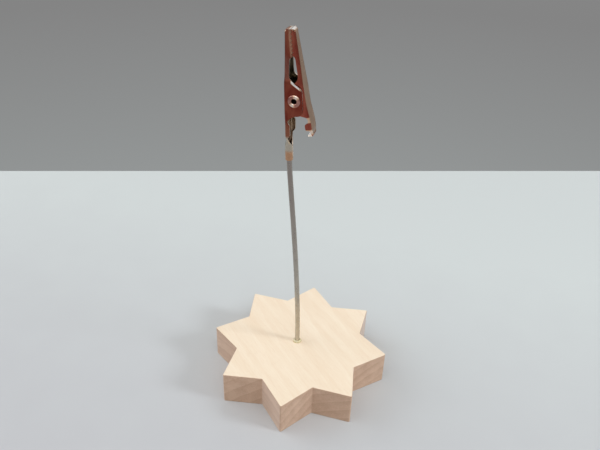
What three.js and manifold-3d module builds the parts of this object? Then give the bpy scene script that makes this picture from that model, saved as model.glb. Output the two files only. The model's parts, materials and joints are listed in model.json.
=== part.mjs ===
// A table card holder: a wooden star, a bowed wire stem and a sprung clip that grips a card.
// Millimetres, +Z up. The origin is on the table, under the middle of the star.
// X is the way the clip opens, and Y runs along its pivot.

import * as THREE from "three";
import { mergeVertices } from "three/addons/utils/BufferGeometryUtils.js";
import Module from "manifold-3d";

const wasm = await Module();
wasm.setup();

const DEGREE = Math.PI / 180;
const MERGE_DISTANCE = 1e-4;

// Star base, cut from 12 mm board
const STAR_POINTS = 8;
const STAR_TIP_RADIUS = 30;
const STAR_NOTCH_RADIUS = 21.7;
const STAR_TURN = 6 * DEGREE;
const TIP_ROUNDING = 0.7;
const BASE_THICKNESS = 12;
const EDGE_BREAK = 0.4;

// Stem wire, from the blind hole in the star up into the clip's crimp
const WIRE_RADIUS = 0.8;
const WIRE_SIDES = 12;
const STEM_STEPS = 44;
const STEM_LOWER_PULL = 27;
const STEM_UPPER_PULL = 9.5;
const HOLE_RADIUS = WIRE_RADIUS + 0.1;
const HOLE_FLOOR = 3;
// The hole was drilled by hand, a little off the star's middle
const HOLE_X = -0.7;
const HOLE_Y = -0.2;
const DRILL_POINT = 0.5;
const COUNTERSINK = 0.3;
const HOLE_SIDES = 24;

// Glue bead in the countersink round the stem's foot
const GLUE_GAP = 0.04;
const GLUE_DEPTH = 0.22;
const GLUE_CLIMB = 0.4;
const GLUE_STEPS = 4;

// Clip: its pivot, the lean of its fixed half and the angle between the two spines
const PIVOT_X = -3.2;
const PIVOT_HEIGHT = 101.1;
const CLIP_LEAN = 2.1 * DEGREE;
const JAW_SPREAD = 9.2 * DEGREE;

// Folded sheet of both jaws, measured from the pivot: U away from the spine, W up to the nose
const SHEET = 0.32;
const BEND_RADIUS = 0.65;
const BEND_STEPS = 4;
const SPINE_OFFSET = 2.95;
const JAW_LENGTH = 18.9;
const NOSE_ROUND = 0.8;
const TIP_HALF_WIDTH = 1.5;
const GRIP_HALF_WIDTH = 2.1;
const FIXED_EAR_HALF_WIDTH = 3;
const MOVING_EAR_HALF_WIDTH = 2.52;
const EAR_EDGE = 2.3;
const EAR_REACH = 2.6;
const SHOULDER_HALF_WIDTH = 2.75;
const OUTSIDE = 8;

// Teeth along the line where the jaws meet, and the relief behind them
const TOOTH_COUNT = 6;
const TOOTH_PITCH = 1.05;
const TOOTH_HALF_HEIGHT = 0.26;
const TEETH_START = 11.9;
const JAW_GAP = 0.12;
const GRIP_SHIFT = 0.3;
const FIXED_RELIEF_EDGE = 1.45;
const MOVING_RELIEF_EDGE = 1.85;
const RELIEF_TOP = 11.5;
const RELIEF_ROUND = 1;

// Fixed half: slanting ears, the tail behind them and the crimp barrel round the stem
const EAR_SLOPE_START = 5.7;
const EAR_SLOPE_END = 3.05;
const EAR_ROUND = 1;
const EAR_HEEL = 0.1;
const EAR_FOOT = -4.4;
const EAR_FLAT_TOP = 4.8;
const EAR_FLAT_BOTTOM = -4;
const NECK_TOP = 6.4;
const TAIL_TOP = -7.2;
const TAIL_EDGE = 1.55;
const TAIL_HALF_WIDTH = 2.5;
const TAIL_END = -10.9;
const WAIST_TOP = -11.3;
const WAIST_EDGE = 2.2;
const WAIST_ROUND = 0.5;
const CRIMP_TOP = -14.3;
const CRIMP_BOTTOM = -19.2;
const CRIMP_CENTRE = -2.6;
const CRIMP_CLEARANCE = 0.04;
const CRIMP_SEAM = 14 * DEGREE;
const CRIMP_BLEND_STEPS = 8;
const WIRE_TOP = CRIMP_TOP - 0.1;

// Moving half: round inner ears, the handle set outwards behind them and its turned-in lip
const INNER_EAR_RADIUS = 2.3;
const INNER_EAR_SHOULDER = new THREE.Vector2(0.2, 4.1);
const INNER_EAR_HEEL = new THREE.Vector2(0.2, -4.2);
const INNER_EAR_START = 60 * DEGREE;
const INNER_EAR_FINISH = -75 * DEGREE;
const INNER_EAR_TOP = 5.6;
const HANDLE_OFFSET = 3.4;
const HANDLE_START = -2;
const HANDLE_STEP_END = -6.5;
const HANDLE_END = -10.5;
const HANDLE_END_HALF_WIDTH = 1.9;
const HANDLE_WALL_EDGE = 2.9;
const SCALLOP_EDGE = 2.75;
const SCALLOP_TOP = -5.2;
const SCALLOP_BOTTOM = -6.6;
const SCALLOP_ROUND = 0.6;
const TAB_EDGE = 1.65;
const TAB_BOTTOM = -8.9;
const TAB_ROUND = 0.5;
const LIP_RADIUS = 0.55;
const LIP_TURN = 90 * DEGREE;
const LIP_FLANGE = 1.2;
const LIP_HALF_WIDTH = 1.7;
const LIP_INSET = 0.03;

// Hollow pivot rivet
const RIVET_RADIUS = 1;
const RIVET_BORE = 0.7;
const RIVET_HEAD_RADIUS = 1.8;
const RIVET_HEAD_HEIGHT = 0.42;
const RIVET_CLEARANCE = 0.06;
const RIVET_SIDES = 24;
const RIVET_HEAD_STEPS = 6;

// Torsion spring wound round the rivet
const SPRING_WIRE = 0.45;
const SPRING_RADIUS = 1.5;
const SPRING_PITCH = 0.88;
const SPRING_WHOLE_TURNS = 3;
const SPRING_LEG_DROP = -6.5;
const SPRING_CLEARANCE = 0.06;
const STEPS_PER_TURN = 12;
const SPRING_SIDES = 6;
const LEG_STEPS = 3;

// A mesh with merged vertices, as a solid for joining and cutting
function toSolid(geometry) {
  const bare = geometry.clone();
  bare.deleteAttribute("normal");
  bare.deleteAttribute("uv");
  const merged = mergeVertices(bare, MERGE_DISTANCE);
  return new wasm.Manifold(
    new wasm.Mesh({
      numProp: 3,
      vertProperties: new Float32Array(merged.attributes.position.array),
      triVerts: new Uint32Array(merged.index.array),
    }),
  );
}

// A solid back as a three.js geometry
function toGeometry(solid) {
  const mesh = solid.getMesh();
  const positions = new Float32Array((mesh.vertProperties.length / mesh.numProp) * 3);
  for (let i = 0; i < positions.length; i += 3) {
    const first = (i / 3) * mesh.numProp;
    positions.set(mesh.vertProperties.subarray(first, first + 3), i);
  }
  const geometry = new THREE.BufferGeometry();
  geometry.setAttribute("position", new THREE.BufferAttribute(positions, 3));
  geometry.setIndex(new THREE.BufferAttribute(new Uint32Array(mesh.triVerts), 1));
  geometry.computeVertexNormals();
  return geometry;
}

// A profile of [radius, height] pairs turned about Z
function turned(profile, sides) {
  const points = profile.map(([radius, height]) => new THREE.Vector2(radius, height));
  return new THREE.LatheGeometry(points, sides).rotateX(Math.PI / 2);
}

// A side outline in U and W, as a plate of the given half width across the pivot axis
function plate(shape, halfWidth) {
  const options = { depth: 2 * halfWidth, bevelEnabled: false, curveSegments: 8 };
  return new THREE.ExtrudeGeometry(shape, options).rotateX(Math.PI / 2).translate(0, halfWidth, 0);
}

// Straight edges on from the outline's last point, with each [u, w, rounding] corner but the last rounded
function roundedEdges(shape, corners) {
  let from = shape.currentPoint.clone();
  corners.forEach(([u, w, rounding], i) => {
    const corner = new THREE.Vector2(u, w);
    if (i === corners.length - 1) {
      shape.lineTo(u, w);
      return;
    }
    const next = new THREE.Vector2(corners[i + 1][0], corners[i + 1][1]);
    const enter = corner.clone().add(from.clone().sub(corner).setLength(rounding));
    const leave = corner.clone().add(next.clone().sub(corner).setLength(rounding));
    shape.lineTo(enter.x, enter.y);
    shape.quadraticCurveTo(u, w, leave.x, leave.y);
    from = corner;
  });
}

// A round tube through the points, closed by a flat face at each end
function tube(points, radius, sides, sideways) {
  const positions = [];
  const triangles = [];
  const last = points.length - 1;
  points.forEach((point, i) => {
    const ahead = points[Math.min(i + 1, last)].clone();
    const along = ahead.sub(points[Math.max(i - 1, 0)]).normalize();
    const across = new THREE.Vector3().crossVectors(sideways, along).normalize();
    const over = new THREE.Vector3().crossVectors(along, across);
    for (let k = 0; k < sides; k += 1) {
      const angle = (2 * Math.PI * k) / sides;
      const spot = point.clone();
      spot.addScaledVector(across, radius * Math.cos(angle));
      spot.addScaledVector(over, radius * Math.sin(angle));
      positions.push(spot.x, spot.y, spot.z);
    }
  });
  for (let i = 0; i < last; i += 1) {
    for (let k = 0; k < sides; k += 1) {
      const a = i * sides + k;
      const b = i * sides + ((k + 1) % sides);
      triangles.push(a, b, b + sides, a, b + sides, a + sides);
    }
  }
  for (let k = 1; k < sides - 1; k += 1) {
    triangles.push(0, k + 1, k);
    triangles.push(last * sides, last * sides + k, last * sides + k + 1);
  }
  const geometry = new THREE.BufferGeometry();
  geometry.setAttribute("position", new THREE.Float32BufferAttribute(positions, 3));
  geometry.setIndex(triangles);
  geometry.computeVertexNormals();
  return geometry;
}

// The eight-pointed outline, with each tip rounded by a short curve
function starShape() {
  const polar = (radius, angle) => new THREE.Vector2(radius * Math.cos(angle), radius * Math.sin(angle));
  const step = (2 * Math.PI) / STAR_POINTS;
  const shape = new THREE.Shape();
  for (let k = 0; k < STAR_POINTS; k += 1) {
    const angle = STAR_TURN + k * step;
    const tip = polar(STAR_TIP_RADIUS, angle);
    const before = polar(STAR_NOTCH_RADIUS, angle - step / 2);
    const after = polar(STAR_NOTCH_RADIUS, angle + step / 2);
    const share = TIP_ROUNDING / tip.distanceTo(after);
    const enter = tip.clone().lerp(before, share);
    const leave = tip.clone().lerp(after, share);
    if (k === 0) {
      shape.moveTo(before.x, before.y);
    }
    shape.lineTo(enter.x, enter.y);
    shape.quadraticCurveTo(tip.x, tip.y, leave.x, leave.y);
    if (k < STAR_POINTS - 1) {
      shape.lineTo(after.x, after.y);
    }
  }
  return shape;
}

// The star with broken edges and its drilled, countersunk hole
function starBase() {
  const block = new THREE.ExtrudeGeometry(starShape(), {
    depth: BASE_THICKNESS - 2 * EDGE_BREAK,
    curveSegments: 4,
    bevelThickness: EDGE_BREAK,
    bevelSize: EDGE_BREAK,
    bevelOffset: -EDGE_BREAK,
    bevelSegments: 2,
  }).translate(0, 0, EDGE_BREAK);
  const mouth = HOLE_RADIUS + 2 * COUNTERSINK;
  const drill = turned(
    [
      [0, HOLE_FLOOR - DRILL_POINT],
      [HOLE_RADIUS, HOLE_FLOOR],
      [HOLE_RADIUS, BASE_THICKNESS - COUNTERSINK],
      [mouth, BASE_THICKNESS + COUNTERSINK],
      [0, BASE_THICKNESS + COUNTERSINK],
    ],
    HOLE_SIDES,
  ).translate(HOLE_X, HOLE_Y, 0);
  return toGeometry(toSolid(block).subtract(toSolid(drill)));
}

// A point of the clip's own frame, at the part's origin
function clipPoint(u, w) {
  const place = new THREE.Vector3(u, 0, w).applyAxisAngle(new THREE.Vector3(0, 1, 0), -CLIP_LEAN);
  return place.add(new THREE.Vector3(PIVOT_X, 0, PIVOT_HEIGHT));
}

// One bent wire: upright in the hole, bowed above it and straight again inside the crimp
function stem() {
  const foot = new THREE.Vector3(HOLE_X, HOLE_Y, HOLE_FLOOR);
  const mouth = new THREE.Vector3(HOLE_X, HOLE_Y, BASE_THICKNESS);
  const crimp = clipPoint(CRIMP_CENTRE, CRIMP_BOTTOM);
  const lowerPull = new THREE.Vector3(HOLE_X, HOLE_Y, BASE_THICKNESS + STEM_LOWER_PULL);
  const upperPull = clipPoint(CRIMP_CENTRE, CRIMP_BOTTOM - STEM_UPPER_PULL);
  const path = new THREE.CurvePath();
  path.add(new THREE.LineCurve3(foot, mouth));
  path.add(new THREE.CubicBezierCurve3(mouth, lowerPull, upperPull, crimp));
  path.add(new THREE.LineCurve3(crimp, clipPoint(CRIMP_CENTRE, WIRE_TOP)));
  const section = new THREE.Shape().absarc(0, 0, WIRE_RADIUS, 0, 2 * Math.PI);
  return new THREE.ExtrudeGeometry(section, {
    extrudePath: path,
    steps: STEM_STEPS,
    curveSegments: WIRE_SIDES,
  });
}

// Adhesive that fills the countersink and climbs a little way up the wire
function glueBead() {
  const inside = WIRE_RADIUS + GLUE_GAP;
  const low = BASE_THICKNESS - GLUE_DEPTH;
  const rim = HOLE_RADIUS + COUNTERSINK - 2 * GLUE_GAP;
  const climb = Array.from({ length: GLUE_STEPS + 1 }, (_, i) => {
    const share = i / GLUE_STEPS;
    return [inside + (rim - inside) * (1 - share) ** 2, BASE_THICKNESS + GLUE_CLIMB * share];
  });
  const profile = [[inside, low], [rim - GLUE_DEPTH, low], ...climb, [inside, low]];
  return turned(profile, HOLE_SIDES).translate(HOLE_X, HOLE_Y, 0);
}

// A line across the folded sheet, from one wall's edge round the spine to the other wall's edge
function channelLine(spine, halfWidth, reach, radius) {
  const bend = spine + radius;
  const middle = (reach + bend) / 2;
  const lower = [new THREE.Vector2(reach, -halfWidth), new THREE.Vector2(middle, -halfWidth)];
  for (let i = 0; i <= BEND_STEPS; i += 1) {
    const angle = (-Math.PI / 2) * (1 + i / BEND_STEPS);
    const corner = new THREE.Vector2(Math.cos(angle), Math.sin(angle)).multiplyScalar(radius);
    lower.push(corner.add(new THREE.Vector2(bend, radius - halfWidth)));
  }
  const upper = lower.map((point) => new THREE.Vector2(point.x, -point.y)).reverse();
  return [...lower, new THREE.Vector2(spine, 0), ...upper];
}

// The same line once it is rolled into the crimp barrel, with its seam away from the spine
function crimpLine(radius, count) {
  const turn = 2 * (Math.PI - CRIMP_SEAM);
  return Array.from({ length: count }, (_, i) => {
    const angle = -CRIMP_SEAM - (turn * i) / (count - 1);
    return new THREE.Vector2(CRIMP_CENTRE + radius * Math.cos(angle), radius * Math.sin(angle));
  });
}

// A section of folded sheet at height w: its outer and inner lines
function channelSection(w, spine, halfWidth, reach) {
  return {
    w,
    outer: channelLine(spine, halfWidth, reach, BEND_RADIUS),
    inner: channelLine(spine + SHEET, halfWidth - SHEET, reach, BEND_RADIUS - SHEET),
  };
}

// A section of the crimp barrel at height w
function crimpSection(w, count) {
  const bore = WIRE_RADIUS + CRIMP_CLEARANCE;
  return { w, outer: crimpLine(bore + SHEET, count), inner: crimpLine(bore, count) };
}

// A section part of the way from one to another, whose shape eases in and out
function blendedSection(from, to, share) {
  const eased = THREE.MathUtils.smoothstep(share, 0, 1);
  const mix = (a, b) => a.map((point, i) => point.clone().lerp(b[i], eased));
  return {
    w: THREE.MathUtils.lerp(from.w, to.w, share),
    outer: mix(from.outer, to.outer),
    inner: mix(from.inner, to.inner),
  };
}

// The sheet lofted through its sections, which run upwards
function foldedSheet(sections) {
  const positions = [];
  const triangles = [];
  const count = sections[0].outer.length;
  const ring = 2 * count;
  sections.forEach(({ w, outer, inner }) => {
    [...outer, ...[...inner].reverse()].forEach((point) => positions.push(point.x, point.y, w));
  });
  for (let s = 0; s < sections.length - 1; s += 1) {
    for (let k = 0; k < ring; k += 1) {
      const a = s * ring + k;
      const b = s * ring + ((k + 1) % ring);
      triangles.push(a, a + ring, b + ring, a, b + ring, b);
    }
  }
  const top = (sections.length - 1) * ring;
  for (let k = 0; k < count - 1; k += 1) {
    const facing = ring - 1 - k;
    triangles.push(k, k + 1, facing - 1, k, facing - 1, facing);
    triangles.push(top + k, top + facing - 1, top + k + 1, top + k, top + facing, top + facing - 1);
  }
  const geometry = new THREE.BufferGeometry();
  geometry.setAttribute("position", new THREE.Float32BufferAttribute(positions, 3));
  geometry.setIndex(triangles);
  return geometry;
}

// The folded front that closes the nose: a flat cap inside the end of the channel
function noseCap() {
  const shape = new THREE.Shape();
  shape.moveTo(SHEET / 2 - SPINE_OFFSET, JAW_LENGTH - SHEET);
  shape.lineTo(0, JAW_LENGTH - SHEET);
  shape.lineTo(0, JAW_LENGTH + SHEET / 2);
  shape.lineTo(SHEET / 2 - SPINE_OFFSET, JAW_LENGTH + SHEET / 2);
  return plate(shape, TIP_HALF_WIDTH - SHEET / 2);
}

// A point beside the jaws' meeting line, which halves the angle between the two spines
function meetingPoint(distance, towardsOther) {
  const half = JAW_SPREAD / 2;
  const u = towardsOther * Math.cos(half) - distance * Math.sin(half);
  const w = towardsOther * Math.sin(half) + distance * Math.cos(half);
  return [u, w];
}

// The rounded nose, the toothed edge and the relief behind it. The teeth of phase 1 fit between those of -1
function drawGrip(shape, phase, reliefEdge) {
  const reach = phase * GRIP_SHIFT - JAW_GAP / 2;
  const halfTeeth = 2 * TOOTH_COUNT;
  shape.moveTo(-OUTSIDE, JAW_LENGTH - NOSE_ROUND);
  shape.lineTo(-SPINE_OFFSET, JAW_LENGTH - NOSE_ROUND);
  shape.quadraticCurveTo(-SPINE_OFFSET, JAW_LENGTH, NOSE_ROUND - SPINE_OFFSET, JAW_LENGTH);
  shape.lineTo(...meetingPoint(JAW_LENGTH, reach));
  for (let k = halfTeeth; k >= 0; k -= 1) {
    const height = phase * (k % 2 === 0 ? TOOTH_HALF_HEIGHT : -TOOTH_HALF_HEIGHT);
    shape.lineTo(...meetingPoint(TEETH_START + (k * TOOTH_PITCH) / 2, reach + height));
  }
  shape.quadraticCurveTo(-reliefEdge, RELIEF_TOP, -reliefEdge, RELIEF_TOP - RELIEF_ROUND);
}

// Side outline of the fixed jaw: grip, slanting ear, tail wall and the waist before the crimp
function fixedOutline() {
  const shape = new THREE.Shape();
  drawGrip(shape, 1, FIXED_RELIEF_EDGE);
  roundedEdges(shape, [
    [-FIXED_RELIEF_EDGE, EAR_SLOPE_START, EAR_ROUND],
    [EAR_EDGE, EAR_SLOPE_END, EAR_ROUND],
    [EAR_EDGE, EAR_FOOT, EAR_ROUND],
    [EAR_HEEL, EAR_FOOT, EAR_ROUND],
    [-TAIL_EDGE, TAIL_TOP, EAR_ROUND],
    [-TAIL_EDGE, WAIST_TOP, WAIST_ROUND],
    [-WAIST_EDGE, WAIST_TOP - WAIST_ROUND, SHEET],
    [-WAIST_EDGE, CRIMP_TOP, SHEET],
    [OUTSIDE, CRIMP_TOP, SHEET],
    [OUTSIDE, CRIMP_BOTTOM - SHEET, SHEET],
    [-OUTSIDE, CRIMP_BOTTOM - SHEET],
  ]);
  return shape;
}

// Side outline of the moving jaw: grip, round inner ear, scallop and finger tab of the handle
function movingOutline() {
  const start = new THREE.Vector2(INNER_EAR_RADIUS, 0).rotateAround(new THREE.Vector2(), INNER_EAR_START);
  const shape = new THREE.Shape();
  drawGrip(shape, -1, MOVING_RELIEF_EDGE);
  roundedEdges(shape, [
    [-MOVING_RELIEF_EDGE, INNER_EAR_TOP, EAR_ROUND],
    [INNER_EAR_SHOULDER.x, INNER_EAR_SHOULDER.y, EAR_ROUND],
    [start.x, start.y],
  ]);
  shape.absarc(0, 0, INNER_EAR_RADIUS, INNER_EAR_START, INNER_EAR_FINISH, true);
  roundedEdges(shape, [
    [INNER_EAR_HEEL.x, INNER_EAR_HEEL.y, EAR_ROUND],
    [-SCALLOP_EDGE, SCALLOP_TOP, SCALLOP_ROUND],
    [-SCALLOP_EDGE, SCALLOP_BOTTOM, SCALLOP_ROUND],
    [-TAB_EDGE, SCALLOP_BOTTOM - TAB_ROUND, TAB_ROUND],
    [-TAB_EDGE, TAB_BOTTOM, TAB_ROUND],
    [-HANDLE_WALL_EDGE, TAB_BOTTOM, SHEET],
    [-HANDLE_WALL_EDGE, HANDLE_END - SHEET, SHEET],
    [-OUTSIDE, HANDLE_END - SHEET],
  ]);
  return shape;
}

// The hole for the rivet through both ears
function rivetHole() {
  const length = 4 * FIXED_EAR_HALF_WIDTH;
  const radius = RIVET_RADIUS + RIVET_CLEARANCE;
  return toSolid(new THREE.CylinderGeometry(radius, radius, length, RIVET_SIDES));
}

// The fixed half: one folded sheet from the nose to the barrel crimped on the wire
function fixedJaw() {
  const tailReach = -TAIL_EDGE + SHEET / 2;
  const tail = channelSection(TAIL_END, -SPINE_OFFSET, TAIL_HALF_WIDTH, tailReach);
  const count = tail.outer.length;
  const barrel = crimpSection(CRIMP_TOP, count);
  const rolling = Array.from({ length: CRIMP_BLEND_STEPS - 1 }, (_, i) =>
    blendedSection(barrel, tail, (i + 1) / CRIMP_BLEND_STEPS),
  );
  const sheet = foldedSheet([
    crimpSection(CRIMP_BOTTOM, count),
    barrel,
    ...rolling,
    tail,
    channelSection(TAIL_TOP, -SPINE_OFFSET, SHOULDER_HALF_WIDTH, tailReach),
    channelSection(EAR_FLAT_BOTTOM, -SPINE_OFFSET, FIXED_EAR_HALF_WIDTH, EAR_REACH),
    channelSection(EAR_FLAT_TOP, -SPINE_OFFSET, FIXED_EAR_HALF_WIDTH, EAR_REACH),
    channelSection(NECK_TOP, -SPINE_OFFSET, SHOULDER_HALF_WIDTH, EAR_REACH),
    channelSection(RELIEF_TOP, -SPINE_OFFSET, GRIP_HALF_WIDTH, EAR_REACH),
    channelSection(JAW_LENGTH + SHEET, -SPINE_OFFSET, TIP_HALF_WIDTH, EAR_REACH),
  ]);
  const blank = toSolid(sheet).add(toSolid(noseCap()));
  return toGeometry(blank.intersect(toSolid(plate(fixedOutline(), OUTSIDE))).subtract(rivetHole()));
}

// The end of the handle: a lip that turns in towards the tail
function handleLip() {
  const centre = LIP_RADIUS - HANDLE_OFFSET;
  const outer = LIP_RADIUS - LIP_INSET;
  const inner = LIP_RADIUS - SHEET + LIP_INSET;
  const end = Math.PI + LIP_TURN;
  const flangePoint = (radius, run) => [
    centre + radius * Math.cos(end) - run * Math.sin(end),
    HANDLE_END + radius * Math.sin(end) + run * Math.cos(end),
  ];
  const shape = new THREE.Shape();
  shape.moveTo(centre - inner, HANDLE_END + SHEET);
  shape.lineTo(centre - outer, HANDLE_END + SHEET);
  shape.lineTo(centre - outer, HANDLE_END);
  shape.absarc(centre, HANDLE_END, outer, Math.PI, end, false);
  shape.lineTo(...flangePoint(outer, LIP_FLANGE));
  shape.lineTo(...flangePoint(inner, LIP_FLANGE));
  shape.lineTo(...flangePoint(inner, 0));
  shape.absarc(centre, HANDLE_END, inner, end, Math.PI, true);
  return plate(shape, LIP_HALF_WIDTH);
}

// The moving half: one folded sheet from the nose to the handle's lip
function movingJaw() {
  const sheet = foldedSheet([
    channelSection(HANDLE_END, -HANDLE_OFFSET, HANDLE_END_HALF_WIDTH, 0),
    channelSection(TAB_BOTTOM, -HANDLE_OFFSET, MOVING_EAR_HALF_WIDTH, 0),
    channelSection(HANDLE_STEP_END, -HANDLE_OFFSET, MOVING_EAR_HALF_WIDTH, EAR_REACH),
    channelSection(HANDLE_START, -SPINE_OFFSET, MOVING_EAR_HALF_WIDTH, EAR_REACH),
    channelSection(INNER_EAR_TOP, -SPINE_OFFSET, MOVING_EAR_HALF_WIDTH, EAR_REACH),
    channelSection(RELIEF_TOP, -SPINE_OFFSET, GRIP_HALF_WIDTH, EAR_REACH),
    channelSection(JAW_LENGTH + SHEET, -SPINE_OFFSET, TIP_HALF_WIDTH, EAR_REACH),
  ]);
  const blank = toSolid(sheet).add(toSolid(noseCap()));
  const trimmed = blank.intersect(toSolid(plate(movingOutline(), OUTSIDE)));
  return toGeometry(trimmed.subtract(rivetHole()).add(toSolid(handleLip())));
}

// The rivet: a tube whose two ends are rolled over the fixed ears
function pivotRivet() {
  const seat = FIXED_EAR_HALF_WIDTH + RIVET_CLEARANCE;
  const middle = (RIVET_BORE + RIVET_HEAD_RADIUS) / 2;
  const roll = (RIVET_HEAD_RADIUS - RIVET_BORE) / 2;
  const head = Array.from({ length: RIVET_HEAD_STEPS + 1 }, (_, i) => {
    const angle = Math.PI * (1 - i / RIVET_HEAD_STEPS);
    return [middle + roll * Math.cos(angle), seat + RIVET_HEAD_HEIGHT * Math.sin(angle)];
  });
  const half = [...head, [RIVET_RADIUS, seat]];
  const mirrored = half.map(([radius, height]) => [radius, -height]).reverse();
  const profile = [...half, ...mirrored, half[0]].reverse();
  const points = profile.map(([radius, height]) => new THREE.Vector2(radius, height));
  return new THREE.LatheGeometry(points, RIVET_SIDES);
}

// The angle on the coil where a straight leg to the point (u, w) leaves it
function tangentAngle(u, w, side) {
  return Math.atan2(w, u) + side * Math.acos(SPRING_RADIUS / Math.hypot(u, w));
}

// Centre line of the spring: a leg to the handle, the coil and a leg to the tail
function springLine() {
  const seat = SPRING_WIRE / 2 + SPRING_CLEARANCE + SHEET;
  const handleSeat = new THREE.Vector2(HANDLE_OFFSET - seat, SPRING_LEG_DROP);
  const handle = handleSeat.rotateAround(new THREE.Vector2(), JAW_SPREAD);
  const tail = new THREE.Vector2(seat - SPINE_OFFSET, SPRING_LEG_DROP);
  const start = tangentAngle(handle.x, handle.y, 1);
  const finish = tangentAngle(tail.x, tail.y, -1) + 2 * Math.PI * (SPRING_WHOLE_TURNS + 1);
  const turns = (finish - start) / (2 * Math.PI);
  const halfHeight = (SPRING_PITCH * turns) / 2;
  const coilSteps = Math.round(turns * STEPS_PER_TURN);
  const coil = Array.from({ length: coilSteps + 1 }, (_, i) => {
    const share = i / coilSteps;
    const angle = THREE.MathUtils.lerp(start, finish, share);
    const v = THREE.MathUtils.lerp(-halfHeight, halfHeight, share);
    return new THREE.Vector3(SPRING_RADIUS * Math.cos(angle), v, SPRING_RADIUS * Math.sin(angle));
  });
  const leg = (from, to) =>
    Array.from({ length: LEG_STEPS }, (_, i) => from.clone().lerp(to, (i + 1) / LEG_STEPS));
  const handleEnd = new THREE.Vector3(handle.x, -halfHeight, handle.y);
  const tailEnd = new THREE.Vector3(tail.x, halfHeight, tail.y);
  return [...leg(coil[0], handleEnd).reverse(), ...coil, ...leg(coil[coilSteps], tailEnd)];
}

// The least gap between turns of the spring, measured between points half a turn or more apart
function leastGap(points, diameter) {
  let least = Infinity;
  for (let i = 0; i < points.length; i += 1) {
    for (let k = i + STEPS_PER_TURN / 2; k < points.length; k += 1) {
      least = Math.min(least, points[i].distanceTo(points[k]) - diameter);
    }
  }
  return least;
}

function torsionSpring() {
  const points = springLine();
  console.log(`torsion_spring: least gap to itself ${leastGap(points, SPRING_WIRE).toFixed(3)} mm`);
  return tube(points, SPRING_WIRE / 2, SPRING_SIDES, new THREE.Vector3(0, 1, 0));
}

// Finishes
function paleWood() {
  return new THREE.MeshStandardMaterial({ color: 0xf1dcc0, roughness: 0.62, metalness: 0 });
}

function steelWire() {
  return new THREE.MeshStandardMaterial({ color: 0x9a948a, roughness: 0.3, metalness: 1 });
}

function clearGlue() {
  return new THREE.MeshStandardMaterial({ color: 0xb9a272, roughness: 0.25, metalness: 0 });
}

function brownPlating() {
  return new THREE.MeshStandardMaterial({ color: 0x7d4736, roughness: 0.35, metalness: 1 });
}

function brightRivet() {
  return new THREE.MeshStandardMaterial({ color: 0xb29a8a, roughness: 0.28, metalness: 1 });
}

function springSteel() {
  return new THREE.MeshStandardMaterial({ color: 0x6f6a66, roughness: 0.35, metalness: 1 });
}

function piece(name, geometry, material) {
  const mesh = new THREE.Mesh(geometry, material);
  mesh.name = name;
  return mesh;
}

// The assembly: base and stem in the part's frame, the clip in its own leaning frame
const holder = new THREE.Group();
holder.add(piece("star_base", starBase(), paleWood()));
holder.add(piece("stem", stem(), steelWire()));
holder.add(piece("glue_bead", glueBead(), clearGlue()));

const clip = new THREE.Group();
clip.position.set(PIVOT_X, 0, PIVOT_HEIGHT);
clip.rotation.y = -CLIP_LEAN;
clip.add(piece("fixed_jaw", fixedJaw(), brownPlating()));
clip.add(piece("pivot_rivet", pivotRivet(), brightRivet()));
clip.add(piece("torsion_spring", torsionSpring(), springSteel()));
holder.add(clip);

const movingHalf = new THREE.Group();
movingHalf.rotation.y = -JAW_SPREAD;
const movingMesh = piece("moving_jaw", movingJaw(), brownPlating());
movingMesh.rotation.z = Math.PI;
movingHalf.add(movingMesh);
clip.add(movingHalf);

export default holder;
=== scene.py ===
# %% [markdown]
# # A wooden card holder
# A star cut from pale board carries a bowed steel wire, and the wire carries a small sprung clip that
# grips a card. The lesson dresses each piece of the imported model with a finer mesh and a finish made
# only of nodes. Sizes are in millimetres in the text and become metres where a mesh is made.

# %% Load the frame
import json
import math

import bmesh
import bpy
import numpy as np
from mathutils import Matrix, Vector


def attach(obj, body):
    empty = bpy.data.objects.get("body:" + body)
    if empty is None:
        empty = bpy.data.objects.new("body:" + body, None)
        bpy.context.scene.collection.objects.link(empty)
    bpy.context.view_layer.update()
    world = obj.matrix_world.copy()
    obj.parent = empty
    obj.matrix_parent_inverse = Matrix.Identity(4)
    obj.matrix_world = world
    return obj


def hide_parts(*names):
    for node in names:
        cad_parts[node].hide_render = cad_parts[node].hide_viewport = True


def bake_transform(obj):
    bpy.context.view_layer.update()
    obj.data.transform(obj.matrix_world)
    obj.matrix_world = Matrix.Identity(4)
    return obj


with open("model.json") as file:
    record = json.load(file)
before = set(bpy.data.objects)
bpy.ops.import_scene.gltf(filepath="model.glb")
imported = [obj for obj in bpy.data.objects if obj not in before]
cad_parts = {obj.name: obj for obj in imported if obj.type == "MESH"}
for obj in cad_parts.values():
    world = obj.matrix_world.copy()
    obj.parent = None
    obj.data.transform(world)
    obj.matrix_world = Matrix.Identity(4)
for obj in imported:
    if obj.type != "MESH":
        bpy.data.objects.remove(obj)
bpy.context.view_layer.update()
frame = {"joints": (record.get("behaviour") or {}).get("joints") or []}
MM = 0.001
scene = bpy.context.scene
scene.view_settings.view_transform = "Standard"

# %% [markdown]
# ## The camera
# The view is a little to the right of the front and well above the table, from about 23 cm away. The
# camera could be aimed by eye, but three turns and a distance, counted in star radii, say the same thing
# in numbers that can be checked: the middle of the star's top lies below the middle of the picture.

# %% Sizes that everything hangs on
STAR_RADIUS = 30
STAR_THICKNESS = 12
IMAGE_WIDTH = 600
IMAGE_HEIGHT = 450
QUARTER = math.pi / 2


def add_object(name, data):
    """Puts a camera, a lamp or a mesh into the scene, at the origin, unturned and unscaled"""
    made = bpy.data.objects.new(name, data)
    scene.collection.objects.link(made)
    return made


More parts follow.
